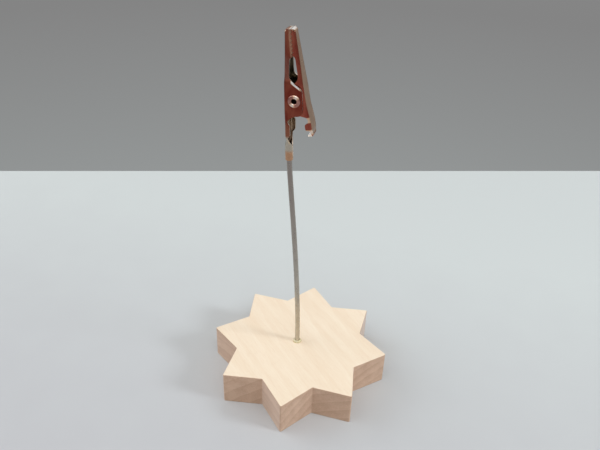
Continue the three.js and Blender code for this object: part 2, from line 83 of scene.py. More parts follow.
# %% Place the camera
CAMERA_AZIMUTH = math.radians(16)
CAMERA_ELEVATION = math.radians(33.685)
CAMERA_ROLL = math.radians(2)
CAMERA_DISTANCE = 7.64 * STAR_RADIUS
STAR_RIGHT_OF_MIDDLE = -0.0083 * STAR_RADIUS
STAR_ABOVE_MIDDLE = -1.3317 * STAR_RADIUS
FOCAL_PIXELS = 663.3
SENSOR_WIDTH = 36
NEAREST_SEEN = 10

level = Vector((math.cos(CAMERA_AZIMUTH), math.sin(CAMERA_AZIMUTH), 0))
facing = Vector((math.sin(CAMERA_AZIMUTH), -math.cos(CAMERA_AZIMUTH), 0))
camera_back = facing * math.cos(CAMERA_ELEVATION) + Vector((0, 0, math.sin(CAMERA_ELEVATION)))
upright = camera_back.cross(level)
camera_right = level * math.cos(CAMERA_ROLL) + upright * math.sin(CAMERA_ROLL)
camera_up = upright * math.cos(CAMERA_ROLL) - level * math.sin(CAMERA_ROLL)
star_top = Vector((0, 0, STAR_THICKNESS))
camera_place = star_top + camera_back * CAMERA_DISTANCE
camera_place -= camera_right * STAR_RIGHT_OF_MIDDLE + camera_up * STAR_ABOVE_MIDDLE

camera_data = bpy.data.cameras.new("camera")
camera_data.sensor_width = SENSOR_WIDTH
camera_data.lens = FOCAL_PIXELS / IMAGE_WIDTH * SENSOR_WIDTH
camera_data.clip_start = NEAREST_SEEN * MM
camera = add_object("camera", camera_data)
axes = Matrix((camera_right, camera_up, camera_back)).transposed()
camera.matrix_world = Matrix.Translation(camera_place * MM) @ axes.to_4x4()
scene.camera = camera
print("camera at", [round(value, 1) for value in camera_place], "mm, lens", round(camera_data.lens, 2))

# %% [markdown]
# ## Helpers for nodes
# Shader trees and geometry trees are built the same way: make a node, set its options, then set or link
# its sockets. Short helpers keep each recipe readable. One turns a colour as a screen shows it into the
# linear colour that a shader works in, and others blend, stretch and draw out noise. Every finish starts
# from the place on the piece in millimetres, so that the sizes of its grain or scratches can be read as
# they are.

# %% Node and colour helpers
def feed(tree, socket, value):
    """Links a socket to another node's output, or sets it to a plain value"""
    if isinstance(value, bpy.types.NodeSocket):
        tree.links.new(value, socket)
    else:
        socket.default_value = value


def add_node(tree, kind, sockets, **options):
    """Makes a node with its options, and feeds its sockets by name or number"""
    made = tree.nodes.new(kind)
    for name, option in options.items():
        setattr(made, name, option)
    for name, value in sockets.items():
        feed(tree, made.inputs[name], value)
    return made


def screen_colour(red, green, blue):
    """A colour as a screen shows it, from 0 to 255, as a linear colour by the usual sRGB rule"""
    parts = [part / 255 for part in (red, green, blue)]
    return tuple(p / 12.92 if p <= 0.04045 else ((p + 0.055) / 1.055) ** 2.4 for p in parts) + (1.0,)


# %% Pattern helpers
def scaled_sum(tree, value, times, more):
    """A value taken a number of times, with more added to it"""
    sockets = {0: value, 1: times, 2: more}
    return add_node(tree, "ShaderNodeMath", sockets, operation="MULTIPLY_ADD").outputs[0]


def blend_values(tree, share, first, second):
    """A number between two others"""
    return add_node(tree, "ShaderNodeMix", {0: share, 2: first, 3: second}, data_type="FLOAT").outputs[0]


def blend_colours(tree, share, first, second):
    """A colour between two others"""
    return add_node(tree, "ShaderNodeMix", {0: share, 6: first, 7: second}, data_type="RGBA").outputs[2]


def stretch(tree, value, low, high):
    """Stretches the part of a value between low and high to the range 0 to 1"""
    sockets = {"Value": value, "From Min": low, "From Max": high}
    return add_node(tree, "ShaderNodeMapRange", sockets, interpolation_type="SMOOTHSTEP").outputs[0]


def drawn_noise(tree, place, lengths, detail):
    """Noise whose blots are this long along each axis, in mm"""
    scale = [1 / length for length in lengths]
    drawn = add_node(tree, "ShaderNodeMapping", {"Vector": place, "Scale": scale}).outputs[0]
    noise = add_node(tree, "ShaderNodeTexNoise", {"Vector": drawn, "Scale": 1, "Detail": detail})
    return noise.outputs["Fac"]


# %% Finish helpers
def new_finish(name):
    """A new material, its tree, and the place on the piece in mm"""
    material = bpy.data.materials.new(name)
    material.use_nodes = True
    tree = material.node_tree
    place = add_node(tree, "ShaderNodeTexCoord", {}).outputs["Object"]
    in_mm = add_node(tree, "ShaderNodeMapping", {"Vector": place, "Scale": (1 / MM, 1 / MM, 1 / MM)})
    return material, tree, in_mm.outputs[0]


def part_of(tree, vector, axis):
    """One of the three parts of a vector"""
    return add_node(tree, "ShaderNodeSeparateXYZ", {0: vector}).outputs[axis]


def add_bump(tree, height, strength, depth):
    """A fine relief, this deep in mm"""
    sockets = {"Height": height, "Strength": strength, "Distance": depth * MM}
    return add_node(tree, "ShaderNodeBump", sockets).outputs[0]


def set_surface(tree, sockets):
    """Feeds the sockets of a material's shader"""
    for name, value in sockets.items():
        feed(tree, tree.nodes["Principled BSDF"].inputs[name], value)


# %% [markdown]
# ## The table, the backdrop and the light
# The holder stands on a pale table top that ends about 14 cm behind it, with plain grey beyond. A floor
# without an end would put pale table behind the clip, so the floor is cut along the line where the camera
# should see it end. The grey beyond is the world itself, shown to the camera and to the metal, while
# matt surfaces get an even, slightly warm fill from it. Two wide soft boxes do most of the lighting. The
# lamp on the right is small, so that the star's shadow to its left keeps an edge. In the rounded metal so
# small a lamp would show as hard white dots, so reflections leave it out.

# %% Table top
TABLE_EDGE_ROW = 171
TABLE_REACH = 900


def floor_point(column, row):
    """Where the line of sight through a pixel meets the table, in mm"""
    right = (column - IMAGE_WIDTH / 2) / FOCAL_PIXELS
    up = (IMAGE_HEIGHT / 2 - row) / FOCAL_PIXELS
    sight = camera_right * right + camera_up * up - camera_back
    return camera_place - sight * (camera_place.z / sight.z)


def make_table():
    """The table top, from its far edge to well behind the camera"""
    left = floor_point(0, TABLE_EDGE_ROW)
    right = floor_point(IMAGE_WIDTH, TABLE_EDGE_ROW)
    along = (right - left).normalized() * TABLE_REACH
    towards = Vector((0, 0, 1)).cross(along).normalized() * -2 * TABLE_REACH
    middle = (left + right) / 2
    corners = [middle - along, middle - along + towards, middle + along + towards, middle + along]
    mesh = bpy.data.meshes.new("table_top")
    mesh.from_pydata([corner * MM for corner in corners], [], [(0, 1, 2, 3)])
    return add_object("table_top", mesh)


# %% Table finish
# Painted shade: the near colour is darker and greyer than the far one, so the table darkens towards the
# front
TABLE_NEAR_SHADED = screen_colour(194, 194, 197)
TABLE_FAR = screen_colour(211, 216, 215)
TABLE_SHADE_FADE = (-90, 130)
TABLE_ROUGHNESS = 0.75
TABLE_GLOSS = 0.2
MOTTLE_SIZE = 16.7
MOTTLE_SHARE = 0.2


def table_finish():
    """Matt pale laminate with a hardly visible mottle, its colour made darker and greyer towards the front
    as painted shade
    """
    material, tree, place = new_finish("pale_table")
    mottle = drawn_noise(tree, place, [MOTTLE_SIZE] * 3, detail=2)
    # Painted shade: the share of the lighter far colour grows from front to back
    away = stretch(tree, part_of(tree, place, "Y"), *TABLE_SHADE_FADE)
    share = scaled_sum(tree, mottle, MOTTLE_SHARE, away)
    set_surface(tree, {
        "Base Color": blend_colours(tree, share, TABLE_NEAR_SHADED, TABLE_FAR),
        "Roughness": TABLE_ROUGHNESS, "Specular IOR Level": TABLE_GLOSS})
    return material


table = make_table()
table.data.materials.append(table_finish())
table_end = floor_point(IMAGE_WIDTH / 2, TABLE_EDGE_ROW)
print("table ends", round((table_end - camera_place).length), "mm from the camera")

# %% World
BACKDROP_SHADES = {
    -0.48: screen_colour(147, 150, 150), -0.26: screen_colour(132, 132, 132),
    0.02: screen_colour(140, 140, 140), 0.4: screen_colour(228, 228, 228),
}
FILL_STRENGTH = 0.46
FILL_COLOUR = (1, 0.98, 0.955, 1)


def backdrop_colour(tree):
    """A grey that changes with how far up or down the line of sight points, from -1 to 1"""
    sight = add_node(tree, "ShaderNodeTexCoord", {}).outputs["Generated"]
    sockets = {"Value": part_of(tree, sight, "Z"), "From Min": -1, "From Max": 1}
    share = add_node(tree, "ShaderNodeMapRange", sockets).outputs[0]
    shades = add_node(tree, "ShaderNodeValToRGB", {"Fac": share})
    stops = shades.color_ramp.elements
    while len(stops) < len(BACKDROP_SHADES):
        stops.new(0.5)
    for stop, (height, shade) in zip(stops, BACKDROP_SHADES.items()):
        stop.position = (height + 1) / 2
        stop.color = shade
    return shades.outputs["Color"]


def make_world():
    """Grey where it is seen directly or in metal, and an even fill on matt surfaces"""
    world = bpy.data.worlds.new("studio")
    world.use_nodes = True
    scene.world = world
    tree = world.node_tree
    tree.nodes.clear()
    path = add_node(tree, "ShaderNodeLightPath", {})
    seen = path.outputs["Is Camera Ray"]
    for kind in ("Is Glossy Ray", "Is Transmission Ray"):
        seen = add_node(tree, "ShaderNodeMath", {0: seen, 1: path.outputs[kind]}, use_clamp=True).outputs[0]
    fill = add_node(tree, "ShaderNodeBackground", {"Color": FILL_COLOUR, "Strength": FILL_STRENGTH})
    grey = add_node(tree, "ShaderNodeBackground", {"Color": backdrop_colour(tree)})
    mixed = add_node(tree, "ShaderNodeMixShader", {0: seen, 1: fill.outputs[0], 2: grey.outputs[0]})
    add_node(tree, "ShaderNodeOutputWorld", {"Surface": mixed.outputs[0]})


make_world()
print("fill", FILL_STRENGTH, "of", FILL_COLOUR)

# %% Soft boxes
WHITE_LIGHT = (1, 1, 1)
DAYLIGHT = (0.93, 1, 1.07)
SOFT_BOXES = {
    "overhead": {"place": (0, -440, 1440), "size": (2000, 1000), "watts": 7.5, "colour": WHITE_LIGHT},
    "right": {"place": (1250, 0, 720), "size": (320, 320), "watts": 7.3, "colour": DAYLIGHT},
    "left": {"place": (-1250, -40, 720), "size": (1200, 1000), "watts": 7.5, "colour": DAYLIGHT},
}
TOO_SMALL_TO_MIRROR = 400


def make_soft_box(name, place, size, watts, colour):
    """A soft rectangular lamp that looks at the holder"""
    lamp = bpy.data.lights.new(name, "AREA")
    lamp.shape = "RECTANGLE"
    lamp.size = size[0] * MM
    lamp.size_y = size[1] * MM
    lamp.energy = watts
    lamp.color = colour
    made = add_object(name, lamp)
    made.visible_glossy = min(size) > TOO_SMALL_TO_MIRROR
    aim = Vector((0, 0, STAR_RADIUS)) - Vector(place)
    turn = aim.to_track_quat("-Z", "Y").to_matrix().to_4x4()
    made.matrix_world = Matrix.Translation(Vector(place) * MM) @ turn


for name, box in SOFT_BOXES.items():
    make_soft_box(name, **box)
print("soft boxes", {name: box["watts"] for name, box in SOFT_BOXES.items()}, "watts")

# %% [markdown]
# ## Helpers for meshes
# A piece that a rule can describe is grown by a geometry tree on a stand-in object. The tree's sizes are
# set on its named inputs, the result is taken off as a plain mesh, and the stand-in is thrown away. Other
# modifiers are settled in the same way, so that what is left is only a mesh with its place in it.

# %% Settling a piece
def taken_off(thing):
    """The mesh of an object with all its modifiers carried out"""
    depsgraph = bpy.context.evaluated_depsgraph_get()
    result = thing.evaluated_get(depsgraph)
    return bpy.data.meshes.new_from_object(result, preserve_all_data_layers=True, depsgraph=depsgraph)


def settle(piece):
    """Carries out a piece's modifiers and leaves a plain mesh, with its faces outwards"""
    mesh = taken_off(piece)
    piece.modifiers.clear()
    piece.data = mesh
    mesh.name = piece.name
    shell = bmesh.new()
    shell.from_mesh(mesh)
    volume = shell.calc_volume(signed=True)
    loose = sum(not edge.is_manifold for edge in shell.edges)
    shell.free()
    if volume < 0:
        mesh.flip_normals()
    cubic_mm = round(abs(volume) / MM**3, 2)
    print(piece.name, len(mesh.polygons), "faces,", cubic_mm, "cubic mm,", loose, "open edges")
    return piece


def break_edges(piece, width, segments, sharpest):
    """Rounds every edge that is sharper than an angle in degrees, and keeps flat faces flat"""
    piece.data.shade_smooth()
    bevel = piece.modifiers.new("broken_edges", "BEVEL")
    bevel.width = width * MM
    bevel.segments = segments
    bevel.limit_method = "ANGLE"
    bevel.angle_limit = math.radians(sharpest)
    piece.modifiers.new("flat_faces", "WEIGHTED_NORMAL")
    return settle(piece)


# %% Growing a piece from a geometry tree
def new_tree(name, inputs):
    """A geometry tree with named inputs, its input node and its output node"""
    tree = bpy.data.node_groups.new(name, "GeometryNodeTree")
    for label, kind in inputs.items():
        tree.interface.new_socket(label, in_out="INPUT", socket_type="NodeSocket" + kind)
    tree.interface.new_socket("Geometry", in_out="OUTPUT", socket_type="NodeSocketGeometry")
    given = tree.nodes.new("NodeGroupInput").outputs
    result = tree.nodes.new("NodeGroupOutput").inputs["Geometry"]
    return tree, given, result


def grow(name, tree, sizes, mesh=None):
    """Runs a geometry tree with these sizes and returns a plain mesh object"""
    worker = add_object(name + "_worker", mesh or bpy.data.meshes.new(name + "_worker"))
    modifier = worker.modifiers.new("grow", "NODES")
    modifier.node_group = tree
    for item in tree.interface.items_tree:
        if item.in_out == "INPUT" and item.name in sizes:
            modifier[item.identifier] = sizes[item.name]
    grown = taken_off(worker)
    bpy.data.objects.remove(worker)
    return add_object(name, grown)


# %% [markdown]
# ## Pale wood
# The star is sawn from a board of plain pale hardwood. Its grain runs aslant across the star, so the
# pattern is a solid one: growth rings round a pith that lies outside the board, and fibres drawn out along
# the grain. A flat picture would need one drawing for the top and others for each side, while a solid
# pattern gives long streaks on top and short end grain on the sides that cut across it, all by itself. The
# sawn sides are the same wood with a darker colour: partly because the saw leaves them rough and they soak
# up dust, and partly painted shade, as upright faces get less light than the top. Torn fibres stand up on
# them as a short fuzz that pales them at a slant, which the shader calls sheen.

# %% Grain coordinates
GRAIN_ANGLE = math.radians(-41)
GRAIN_TILT = math.radians(5)
PITH_OFFSET = (0, -40, 75)


def grain_place(tree, place, offset):
    """A place in mm, turned so that X runs along the grain"""
    sockets = {"Vector": place, "Location": offset, "Rotation": (0, GRAIN_TILT, -GRAIN_ANGLE)}
    return add_node(tree, "ShaderNodeMapping", sockets).outputs[0]


# %% Wood finish
RING_SPACING = 3.4
WAVE_LENGTH = math.pi / 10
RING_SCALE = WAVE_LENGTH / RING_SPACING
RING_WANDER = {"Distortion": 3.4, "Detail": 3, "Detail Scale": 0.3, "Detail Roughness": 0.55}
STREAK_LENGTHS = (60, 3.2, 3.2)
STREAK_RANGE = (0.25, 0.8)
FIBRE_LENGTHS = (9, 0.32, 0.32)
FIBRE_RANGE = (0.25, 0.75)
FIBRE_SHARE = 0.3
PORE_LENGTHS = (2.2, 0.16, 0.16)
PORE_RANGE = (0.6, 0.78)
PORE_SHARE = 0.4
WOOD_RELIEF = 0.05
WOOD_ROUGHNESS = (0.52, 0.7)
WOOD_GLOSS = 0.3
FUZZ_ROUGHNESS = 0.3


def wood_finish(name, pale, deep, fleck, ring_share, fuzz):
    """Plain hardwood: rings, broad streaks, fine fibres and short dark flecks"""
    material, tree, place = new_finish(name)
    along = grain_place(tree, place, (0, 0, 0))
    ring_sockets = {"Vector": grain_place(tree, place, PITH_OFFSET), "Scale": RING_SCALE, **RING_WANDER}
    rings = add_node(tree, "ShaderNodeTexWave", ring_sockets, wave_type="RINGS", wave_profile="SAW")
    streaks = drawn_noise(tree, along, STREAK_LENGTHS, detail=3)
    fibres = drawn_noise(tree, along, FIBRE_LENGTHS, detail=4)
    pores = drawn_noise(tree, along, PORE_LENGTHS, detail=2)
    tone = blend_values(tree, ring_share, stretch(tree, streaks, *STREAK_RANGE), rings.outputs["Fac"])
    tone = blend_values(tree, FIBRE_SHARE, tone, stretch(tree, fibres, *FIBRE_RANGE))
    colour = blend_colours(tree, tone, pale, deep)
    pore_share = scaled_sum(tree, stretch(tree, pores, *PORE_RANGE), PORE_SHARE, 0)
    height = blend_values(tree, 0.5, fibres, pores)
    set_surface(tree, {
        "Base Color": blend_colours(tree, pore_share, colour, fleck),
        "Roughness": blend_values(tree, fibres, *WOOD_ROUGHNESS),
        "Normal": add_bump(tree, height, strength=0.5, depth=WOOD_RELIEF),
        "Specular IOR Level": WOOD_GLOSS, "Sheen Weight": fuzz, "Sheen Roughness": FUZZ_ROUGHNESS})
    return material


SANDED_FACE = wood_finish(
    "sanded_face", pale=screen_colour(253, 237, 214), deep=screen_colour(242, 219, 191),
    fleck=screen_colour(222, 194, 161), ring_share=0.3, fuzz=0)
# Partly painted shade: the sawn sides' colours are darker than the sanded face's, for upright faces that
# get less light
SAWN_SIDE_PARTLY_SHADED = wood_finish(
    "sawn_side_partly_painted_shade", pale=screen_colour(222, 191, 166), deep=screen_colour(186, 150, 125),
    fleck=screen_colour(148, 116, 95), ring_share=0.45, fuzz=1)
print("wood finishes", SANDED_FACE.name, SAWN_SIDE_PARTLY_SHADED.name)

# %% [markdown]
# ## The star
# An eight-pointed star is a rule rather than a drawing: two radii, a number of points and a thickness. A
# geometry tree draws it as a curve, rounds only its outer points, fills it, raises it to the board's
# thickness and drills the blind hole for the wire. The drill is a cylinder with a cone at its mouth, as a
# countersink leaves it. Only then are the edges broken, as sandpaper would do it.

# %% Star sizes
STAR_POINTS = 8
STAR_NOTCH_RADIUS = 21.7
STAR_TURN = math.radians(6)
TIP_ROUNDING = 0.48
TIP_STEPS = 5
HOLE_RADIUS = 0.9
HOLE_FLOOR = 3
HOLE_SPOT = Vector((-0.7, -0.2, 0))
HOLE_SIDES = 32
COUNTERSINK = 0.3
EDGE_BREAK = 0.4
WELD_DISTANCE = 0.001


# %% Star block
def star_face(tree, given):
    """The star's flat outline with rounded tips, filled and turned"""
    star = add_node(tree, "GeometryNodeCurveStar", {
        "Points": given["Points"],
        "Outer Radius": given["Tip Radius"], "Inner Radius": given["Notch Radius"]})
    rounding = add_node(tree, "GeometryNodeSwitch", {}, input_type="FLOAT")
    feed(tree, rounding.inputs["Switch"], star.outputs["Outer Points"])
    feed(tree, rounding.inputs["True"], given["Tip Rounding"])
    sockets = {"Curve": star.outputs["Curve"], "Count": TIP_STEPS}
    rounded = add_node(tree, "GeometryNodeFilletCurve", sockets, mode="POLY")
    feed(tree, rounded.inputs["Radius"], rounding.outputs[0])
    face = add_node(tree, "GeometryNodeFillCurve", {"Curve": rounded.outputs[0]}, mode="NGONS").outputs[0]
    return add_node(tree, "GeometryNodeTransform", {"Geometry": face, "Rotation": given["Turn"]}).outputs[0]


def star_tree():
    """A drilled star block from its sizes"""
    tree, given, result = new_tree("star_block", {
        "Points": "Int", "Tip Radius": "Float", "Notch Radius": "Float", "Turn": "Rotation",
        "Tip Rounding": "Float", "Thickness": "Float", "Hole Radius": "Float", "Hole Floor": "Float",
        "Hole Spot": "Vector", "Countersink": "Float", "Hole Sides": "Int",
        "Face": "Material", "Side": "Material"})
    face = star_face(tree, given)
    sockets = {"Mesh": face, "Offset Scale": given["Thickness"], "Individual": False}
    raised = add_node(tree, "GeometryNodeExtrudeMesh", sockets)
    under = add_node(tree, "GeometryNodeFlipFaces", {"Mesh": face})
    joined = add_node(tree, "GeometryNodeJoinGeometry", {})
    tree.links.new(raised.outputs["Mesh"], joined.inputs[0])
    tree.links.new(under.outputs[0], joined.inputs[0])
    sockets = {"Geometry": joined.outputs[0], "Distance": WELD_DISTANCE * MM}
    block = add_node(tree, "GeometryNodeMergeByDistance", sockets).outputs[0]
    drilled = add_node(tree, "GeometryNodeMeshBoolean", {"Mesh 1": block}, operation="DIFFERENCE")
    for tool in drill_tools(tree, given):
        tree.links.new(tool, drilled.inputs["Mesh 2"])
    solid = add_node(tree, "GeometryNodeRealizeInstances", {"Geometry": drilled.outputs[0]}).outputs[0]
    finish_star(tree, given, solid, result)
    return tree


# %% Hole and finishes of the star
FLAT_ENOUGH = 0.5


def over_the_hole(tree, given, tool, height):
    """A drilling tool moved over the hole, to a height"""
    raised = add_node(tree, "ShaderNodeCombineXYZ", {"Z": height}).outputs[0]
    spot = add_node(tree, "ShaderNodeVectorMath", {0: raised, 1: given["Hole Spot"]}).outputs[0]
    sockets = {"Geometry": tool.outputs["Mesh"], "Translation": spot}
    return add_node(tree, "GeometryNodeTransform", sockets).outputs[0]


def drill_tools(tree, given):
    """The drill and the countersink that cut the hole for the wire"""
    depth = scaled_sum(tree, given["Hole Floor"], -1, given["Thickness"])
    sink = given["Countersink"]
    drill = add_node(tree, "GeometryNodeMeshCylinder", {
        "Vertices": given["Hole Sides"], "Radius": given["Hole Radius"],
        "Depth": scaled_sum(tree, depth, 2, 0)})
    cone = add_node(tree, "GeometryNodeMeshCone", {
        "Vertices": given["Hole Sides"],
        "Radius Bottom": scaled_sum(tree, sink, -1, given["Hole Radius"]),
        "Radius Top": scaled_sum(tree, sink, 2, given["Hole Radius"]),
        "Depth": scaled_sum(tree, sink, 3, 0)})
    lowered = over_the_hole(tree, given, drill, given["Thickness"])
    return lowered, over_the_hole(tree, given, cone, scaled_sum(tree, sink, -2, given["Thickness"]))


def finish_star(tree, given, solid, result):
    """Sanded wood on the flat faces, and on every upright one sawn wood, darker partly as painted shade"""
    rise = part_of(tree, add_node(tree, "GeometryNodeInputNormal", {}).outputs[0], "Z")
    flat = add_node(tree, "ShaderNodeMath", {0: rise}, operation="ABSOLUTE").outputs[0]
    # Upright faces get the sawn finish, which is darker partly as painted shade
    upright_shaded = add_node(tree, "FunctionNodeCompare", {0: flat, 1: FLAT_ENOUGH}, operation="LESS_THAN")
    faced = add_node(tree, "GeometryNodeSetMaterial", {"Geometry": solid, "Material": given["Face"]})
    sawn = add_node(tree, "GeometryNodeSetMaterial", {
        "Geometry": faced.outputs[0], "Selection": upright_shaded.outputs[0], "Material": given["Side"]})
    tree.links.new(sawn.outputs[0], result)


# %% Make the star
star_sizes = {
    "Points": STAR_POINTS, "Tip Radius": STAR_RADIUS * MM, "Notch Radius": STAR_NOTCH_RADIUS * MM,
    "Turn": (0, 0, STAR_TURN), "Tip Rounding": TIP_ROUNDING * MM, "Thickness": STAR_THICKNESS * MM,
    "Hole Radius": HOLE_RADIUS * MM, "Hole Floor": HOLE_FLOOR * MM, "Countersink": COUNTERSINK * MM,
    "Hole Spot": HOLE_SPOT * MM, "Hole Sides": HOLE_SIDES, "Face": SANDED_FACE, "Side": SAWN_SIDE_PARTLY_SHADED,
}
star = grow("star_block", star_tree(), star_sizes)
star = break_edges(star, EDGE_BREAK, segments=3, sharpest=40)
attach(star, "holder")
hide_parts("star_base")

# %% [markdown]
# ## Steel wire
# The stem and the spring are both drawn wire: a circle that follows a path. A chain of points gives the
# path, and one geometry tree turns any such chain into a closed round wire, so the same tree serves both.
# The points come from formulas: a curve that leaves the hole upright and meets the clip's crimp in line.

# %% Wire finish
DRAWN_RANGE = (0.3, 0.7)
SPOT_LENGTHS = (1.5, 1.5, 2.5)
SPOT_RANGE = (0.35, 0.7)
SPOT_SHARE = 0.4
POLISHED_BY = 0.06
DULLED_BY = 0.12
DRAWN_RELIEF = 0.01


def metal_finish(name, dark, bright, streak_lengths, roughness, painted_darkening=None):
    """Bare drawn metal with fine streaks, in mm along each axis, and a few dull spots
    the last argument gives a darker colour that takes over between two heights in mm: painted reflection,
    where the metal mirrors darker surroundings higher up"""
    material, tree, place = new_finish(name)
    streaks = drawn_noise(tree, place, streak_lengths, detail=4)
    spots = drawn_noise(tree, place, SPOT_LENGTHS, detail=3)
    drawn = stretch(tree, streaks, *DRAWN_RANGE)
    colour = blend_colours(
        tree, blend_values(tree, SPOT_SHARE, drawn, stretch(tree, spots, *SPOT_RANGE)), dark, bright)
    # Painted reflection: the colour turns darker with height between the two given heights
    if painted_darkening:
        painted_dark, low, high = painted_darkening
        share = stretch(tree, part_of(tree, place, "Z"), low, high)
        colour = blend_colours(tree, share, colour, painted_dark)
    set_surface(tree, {
        "Base Color": colour,
        "Roughness": blend_values(tree, spots, roughness - POLISHED_BY, roughness + DULLED_BY),
        "Normal": add_bump(tree, streaks, strength=0.25, depth=DRAWN_RELIEF), "Metallic": 1})
    return material


# Painted reflection: the stem is drawn darker from 14 to 85 mm up, where it mirrors darker surroundings
STEM_STEEL = metal_finish(
    "drawn_steel", screen_colour(176, 171, 160), screen_colour(206, 201, 189), (0.12, 0.12, 9),
    roughness=0.26, painted_darkening=(screen_colour(152, 142, 135), 14, 85))
SPRING_STEEL = metal_finish(
    "coiled_steel", screen_colour(120, 116, 112), screen_colour(176, 170, 164), (0.4, 0.4, 0.4),
    roughness=0.32)
print("metals", STEM_STEEL.name, SPRING_STEEL.name)


# %% Wire tree
def wire_tree():
    """A round wire along a chain of points"""
    tree, given, result = new_tree(
        "round_wire", {"Chain": "Geometry", "Radius": "Float", "Sides": "Int", "Metal": "Material"})
    path = add_node(tree, "GeometryNodeMeshToCurve", {"Mesh": given["Chain"]})
    ring = add_node(
        tree, "GeometryNodeCurvePrimitiveCircle", {"Resolution": given["Sides"], "Radius": given["Radius"]})
    wire = add_node(tree, "GeometryNodeCurveToMesh", {
        "Curve": path.outputs[0], "Profile Curve": ring.outputs["Curve"], "Fill Caps": True})
    whole = add_node(tree, "GeometryNodeRealizeInstances", {"Geometry": wire.outputs[0]})
    dressed = add_node(
        tree, "GeometryNodeSetMaterial", {"Geometry": whole.outputs[0], "Material": given["Metal"]})
    tree.links.new(dressed.outputs[0], result)
    return tree


WIRE_TREE = wire_tree()


def make_wire(name, points, radius, sides, metal):
    """A wire piece along points in mm, with its cut ends broken"""
    chain = bpy.data.meshes.new(name + "_chain")
    links = [(index, index + 1) for index in range(len(points) - 1)]
    chain.from_pydata([Vector(point) * MM for point in points], links, [])
    sizes = {"Radius": radius * MM, "Sides": sides, "Metal": metal}
    piece = grow(name, WIRE_TREE, sizes, chain)
    return break_edges(piece, radius / 5, segments=2, sharpest=60)


# %% Where the clip sits
JOINT = frame["joints"][0]
PIVOT = Vector(JOINT["pos_m"]) / MM
CLIP_LEAN = math.radians(2.1)
CLIP_TURN = Matrix.Rotation(-CLIP_LEAN, 4, "Y")


def clip_point(depth, side, height):
    """A point given from the pivot: across the clip, along the rivet and up the clip"""
    return PIVOT + CLIP_TURN @ Vector((depth, side, height))


print("pivot", [round(part, 2) for part in PIVOT], "opens from and to", JOINT["range_deg"], "degrees")

# %% [markdown]
# ## The stem
# One length of wire, glued upright in the star and bent by hand into a long lazy bow, ends inside the
# clip's crimp. A curve drawn by hand would look the same, but computed points meet the hole and the crimp
# exactly. Two pulls, one at each end, shape the bow as they do in any drawing program.

# %% Make the stem
WIRE_RADIUS = 0.8
WIRE_SIDES = 28
WIRE_FOOT = HOLE_FLOOR + 0.5
LOWER_PULL = 27
UPPER_PULL = 9.5
BOW_STEPS = 72
CRIMP_CENTRE = -2.6
CRIMP_TOP = -14.3
CRIMP_BOTTOM = -19.2
WIRE_TOP = CRIMP_TOP - 0.1


def bow_point(share):
    """A point on the bow, from the star's top at 0 to the crimp at 1"""
    foot = HOLE_SPOT + star_top
    lower = foot + Vector((0, 0, LOWER_PULL))
    upper = clip_point(CRIMP_CENTRE, 0, CRIMP_BOTTOM - UPPER_PULL)
    end = clip_point(CRIMP_CENTRE, 0, CRIMP_BOTTOM)
    rest = 1 - share
    return foot * rest**3 + lower * 3 * rest**2 * share + upper * 3 * rest * share**2 + end * share**3


stem_points = [HOLE_SPOT + Vector((0, 0, WIRE_FOOT))]
stem_points += [bow_point(step / BOW_STEPS) for step in range(BOW_STEPS + 1)]
stem_points += [clip_point(CRIMP_CENTRE, 0, WIRE_TOP)]
stem = make_wire("stem_wire", stem_points, WIRE_RADIUS, WIRE_SIDES, STEM_STEEL)
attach(stem, "holder")
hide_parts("stem")
print("stem top", [round(part, 1) for part in stem_points[-1]], "mm")

# %% [markdown]
# ## The drop of glue
# A drop of hot glue holds the wire: it fills the countersink and stands round the wire's foot. A fluid
# simulation could pour it, but for so small a drop a turned ring with a rounded back does as well. Its rim
# is a little wavy because glue runs unevenly, and its finish is a clouded amber that lets some light in.

# %% Glue finish
GLUE_AMBER = screen_colour(213, 199, 160)
GLUE_PALE = screen_colour(236, 223, 188)
GLUE_CLOUD = 0.5
GLUE_CLOUD_RANGE = (0.3, 0.7)
LIGHT_REACH = 0.5
GLUE_ROUGHNESS = (0.12, 0.3)


def glue_finish():
    """Clouded amber glue with a wet gloss"""
    material, tree, place = new_finish("amber_glue")
    clouds = drawn_noise(tree, place, [GLUE_CLOUD] * 3, detail=3)
    set_surface(tree, {
        "Base Color": blend_colours(tree, stretch(tree, clouds, *GLUE_CLOUD_RANGE), GLUE_AMBER, GLUE_PALE),
        "Roughness": blend_values(tree, clouds, *GLUE_ROUGHNESS),
        "Subsurface Weight": 0.2, "Subsurface Radius": (0.6, 0.45, 0.2),
        "Subsurface Scale": LIGHT_REACH * MM, "Coat Weight": 0.3})
    return material


# %% Turned rings
def make_ring(name, outline, turns, place, wobble=None):
    """A closed outline carried round an axis; place puts each point in the scene
    the outline's points are (radius, height, share), and share is how far the wobble moves a point out"""
    ring = bmesh.new()
    rows = []
    for step in range(turns):
        angle = 2 * math.pi * step / turns
        swell = wobble(angle) if wobble else 0
        row = [(radius + swell * share, height) for radius, height, share in outline]
        rows.append([ring.verts.new(place(radius, angle, height)) for radius, height in row])
    for first, second in zip(rows, rows[1:] + rows[:1]):
        for index in range(len(outline)):
            corner = (index + 1) % len(outline)
            ring.faces.new((first[index], second[index], second[corner], first[corner]))
    bmesh.ops.recalc_face_normals(ring, faces=ring.faces)
    mesh = bpy.data.meshes.new(name)
    ring.to_mesh(mesh)
    ring.free()
    mesh.shade_smooth()
    return add_object(name, mesh)


# %% Make the glue
GLUE_GAP = 0.04
GLUE_SLACK = 0.02
GLUE_LIFT = 0.01
GLUE_DEPTH = 0.22
GLUE_CLIMB = 0.75
GLUE_SPREAD = 0.2
GLUE_STEPS = 10
GLUE_SIDES = 72
GLUE_RUN = 0.09
GLUE_RUN_TURN = 0.7
GLUE_RIPPLE = 0.03


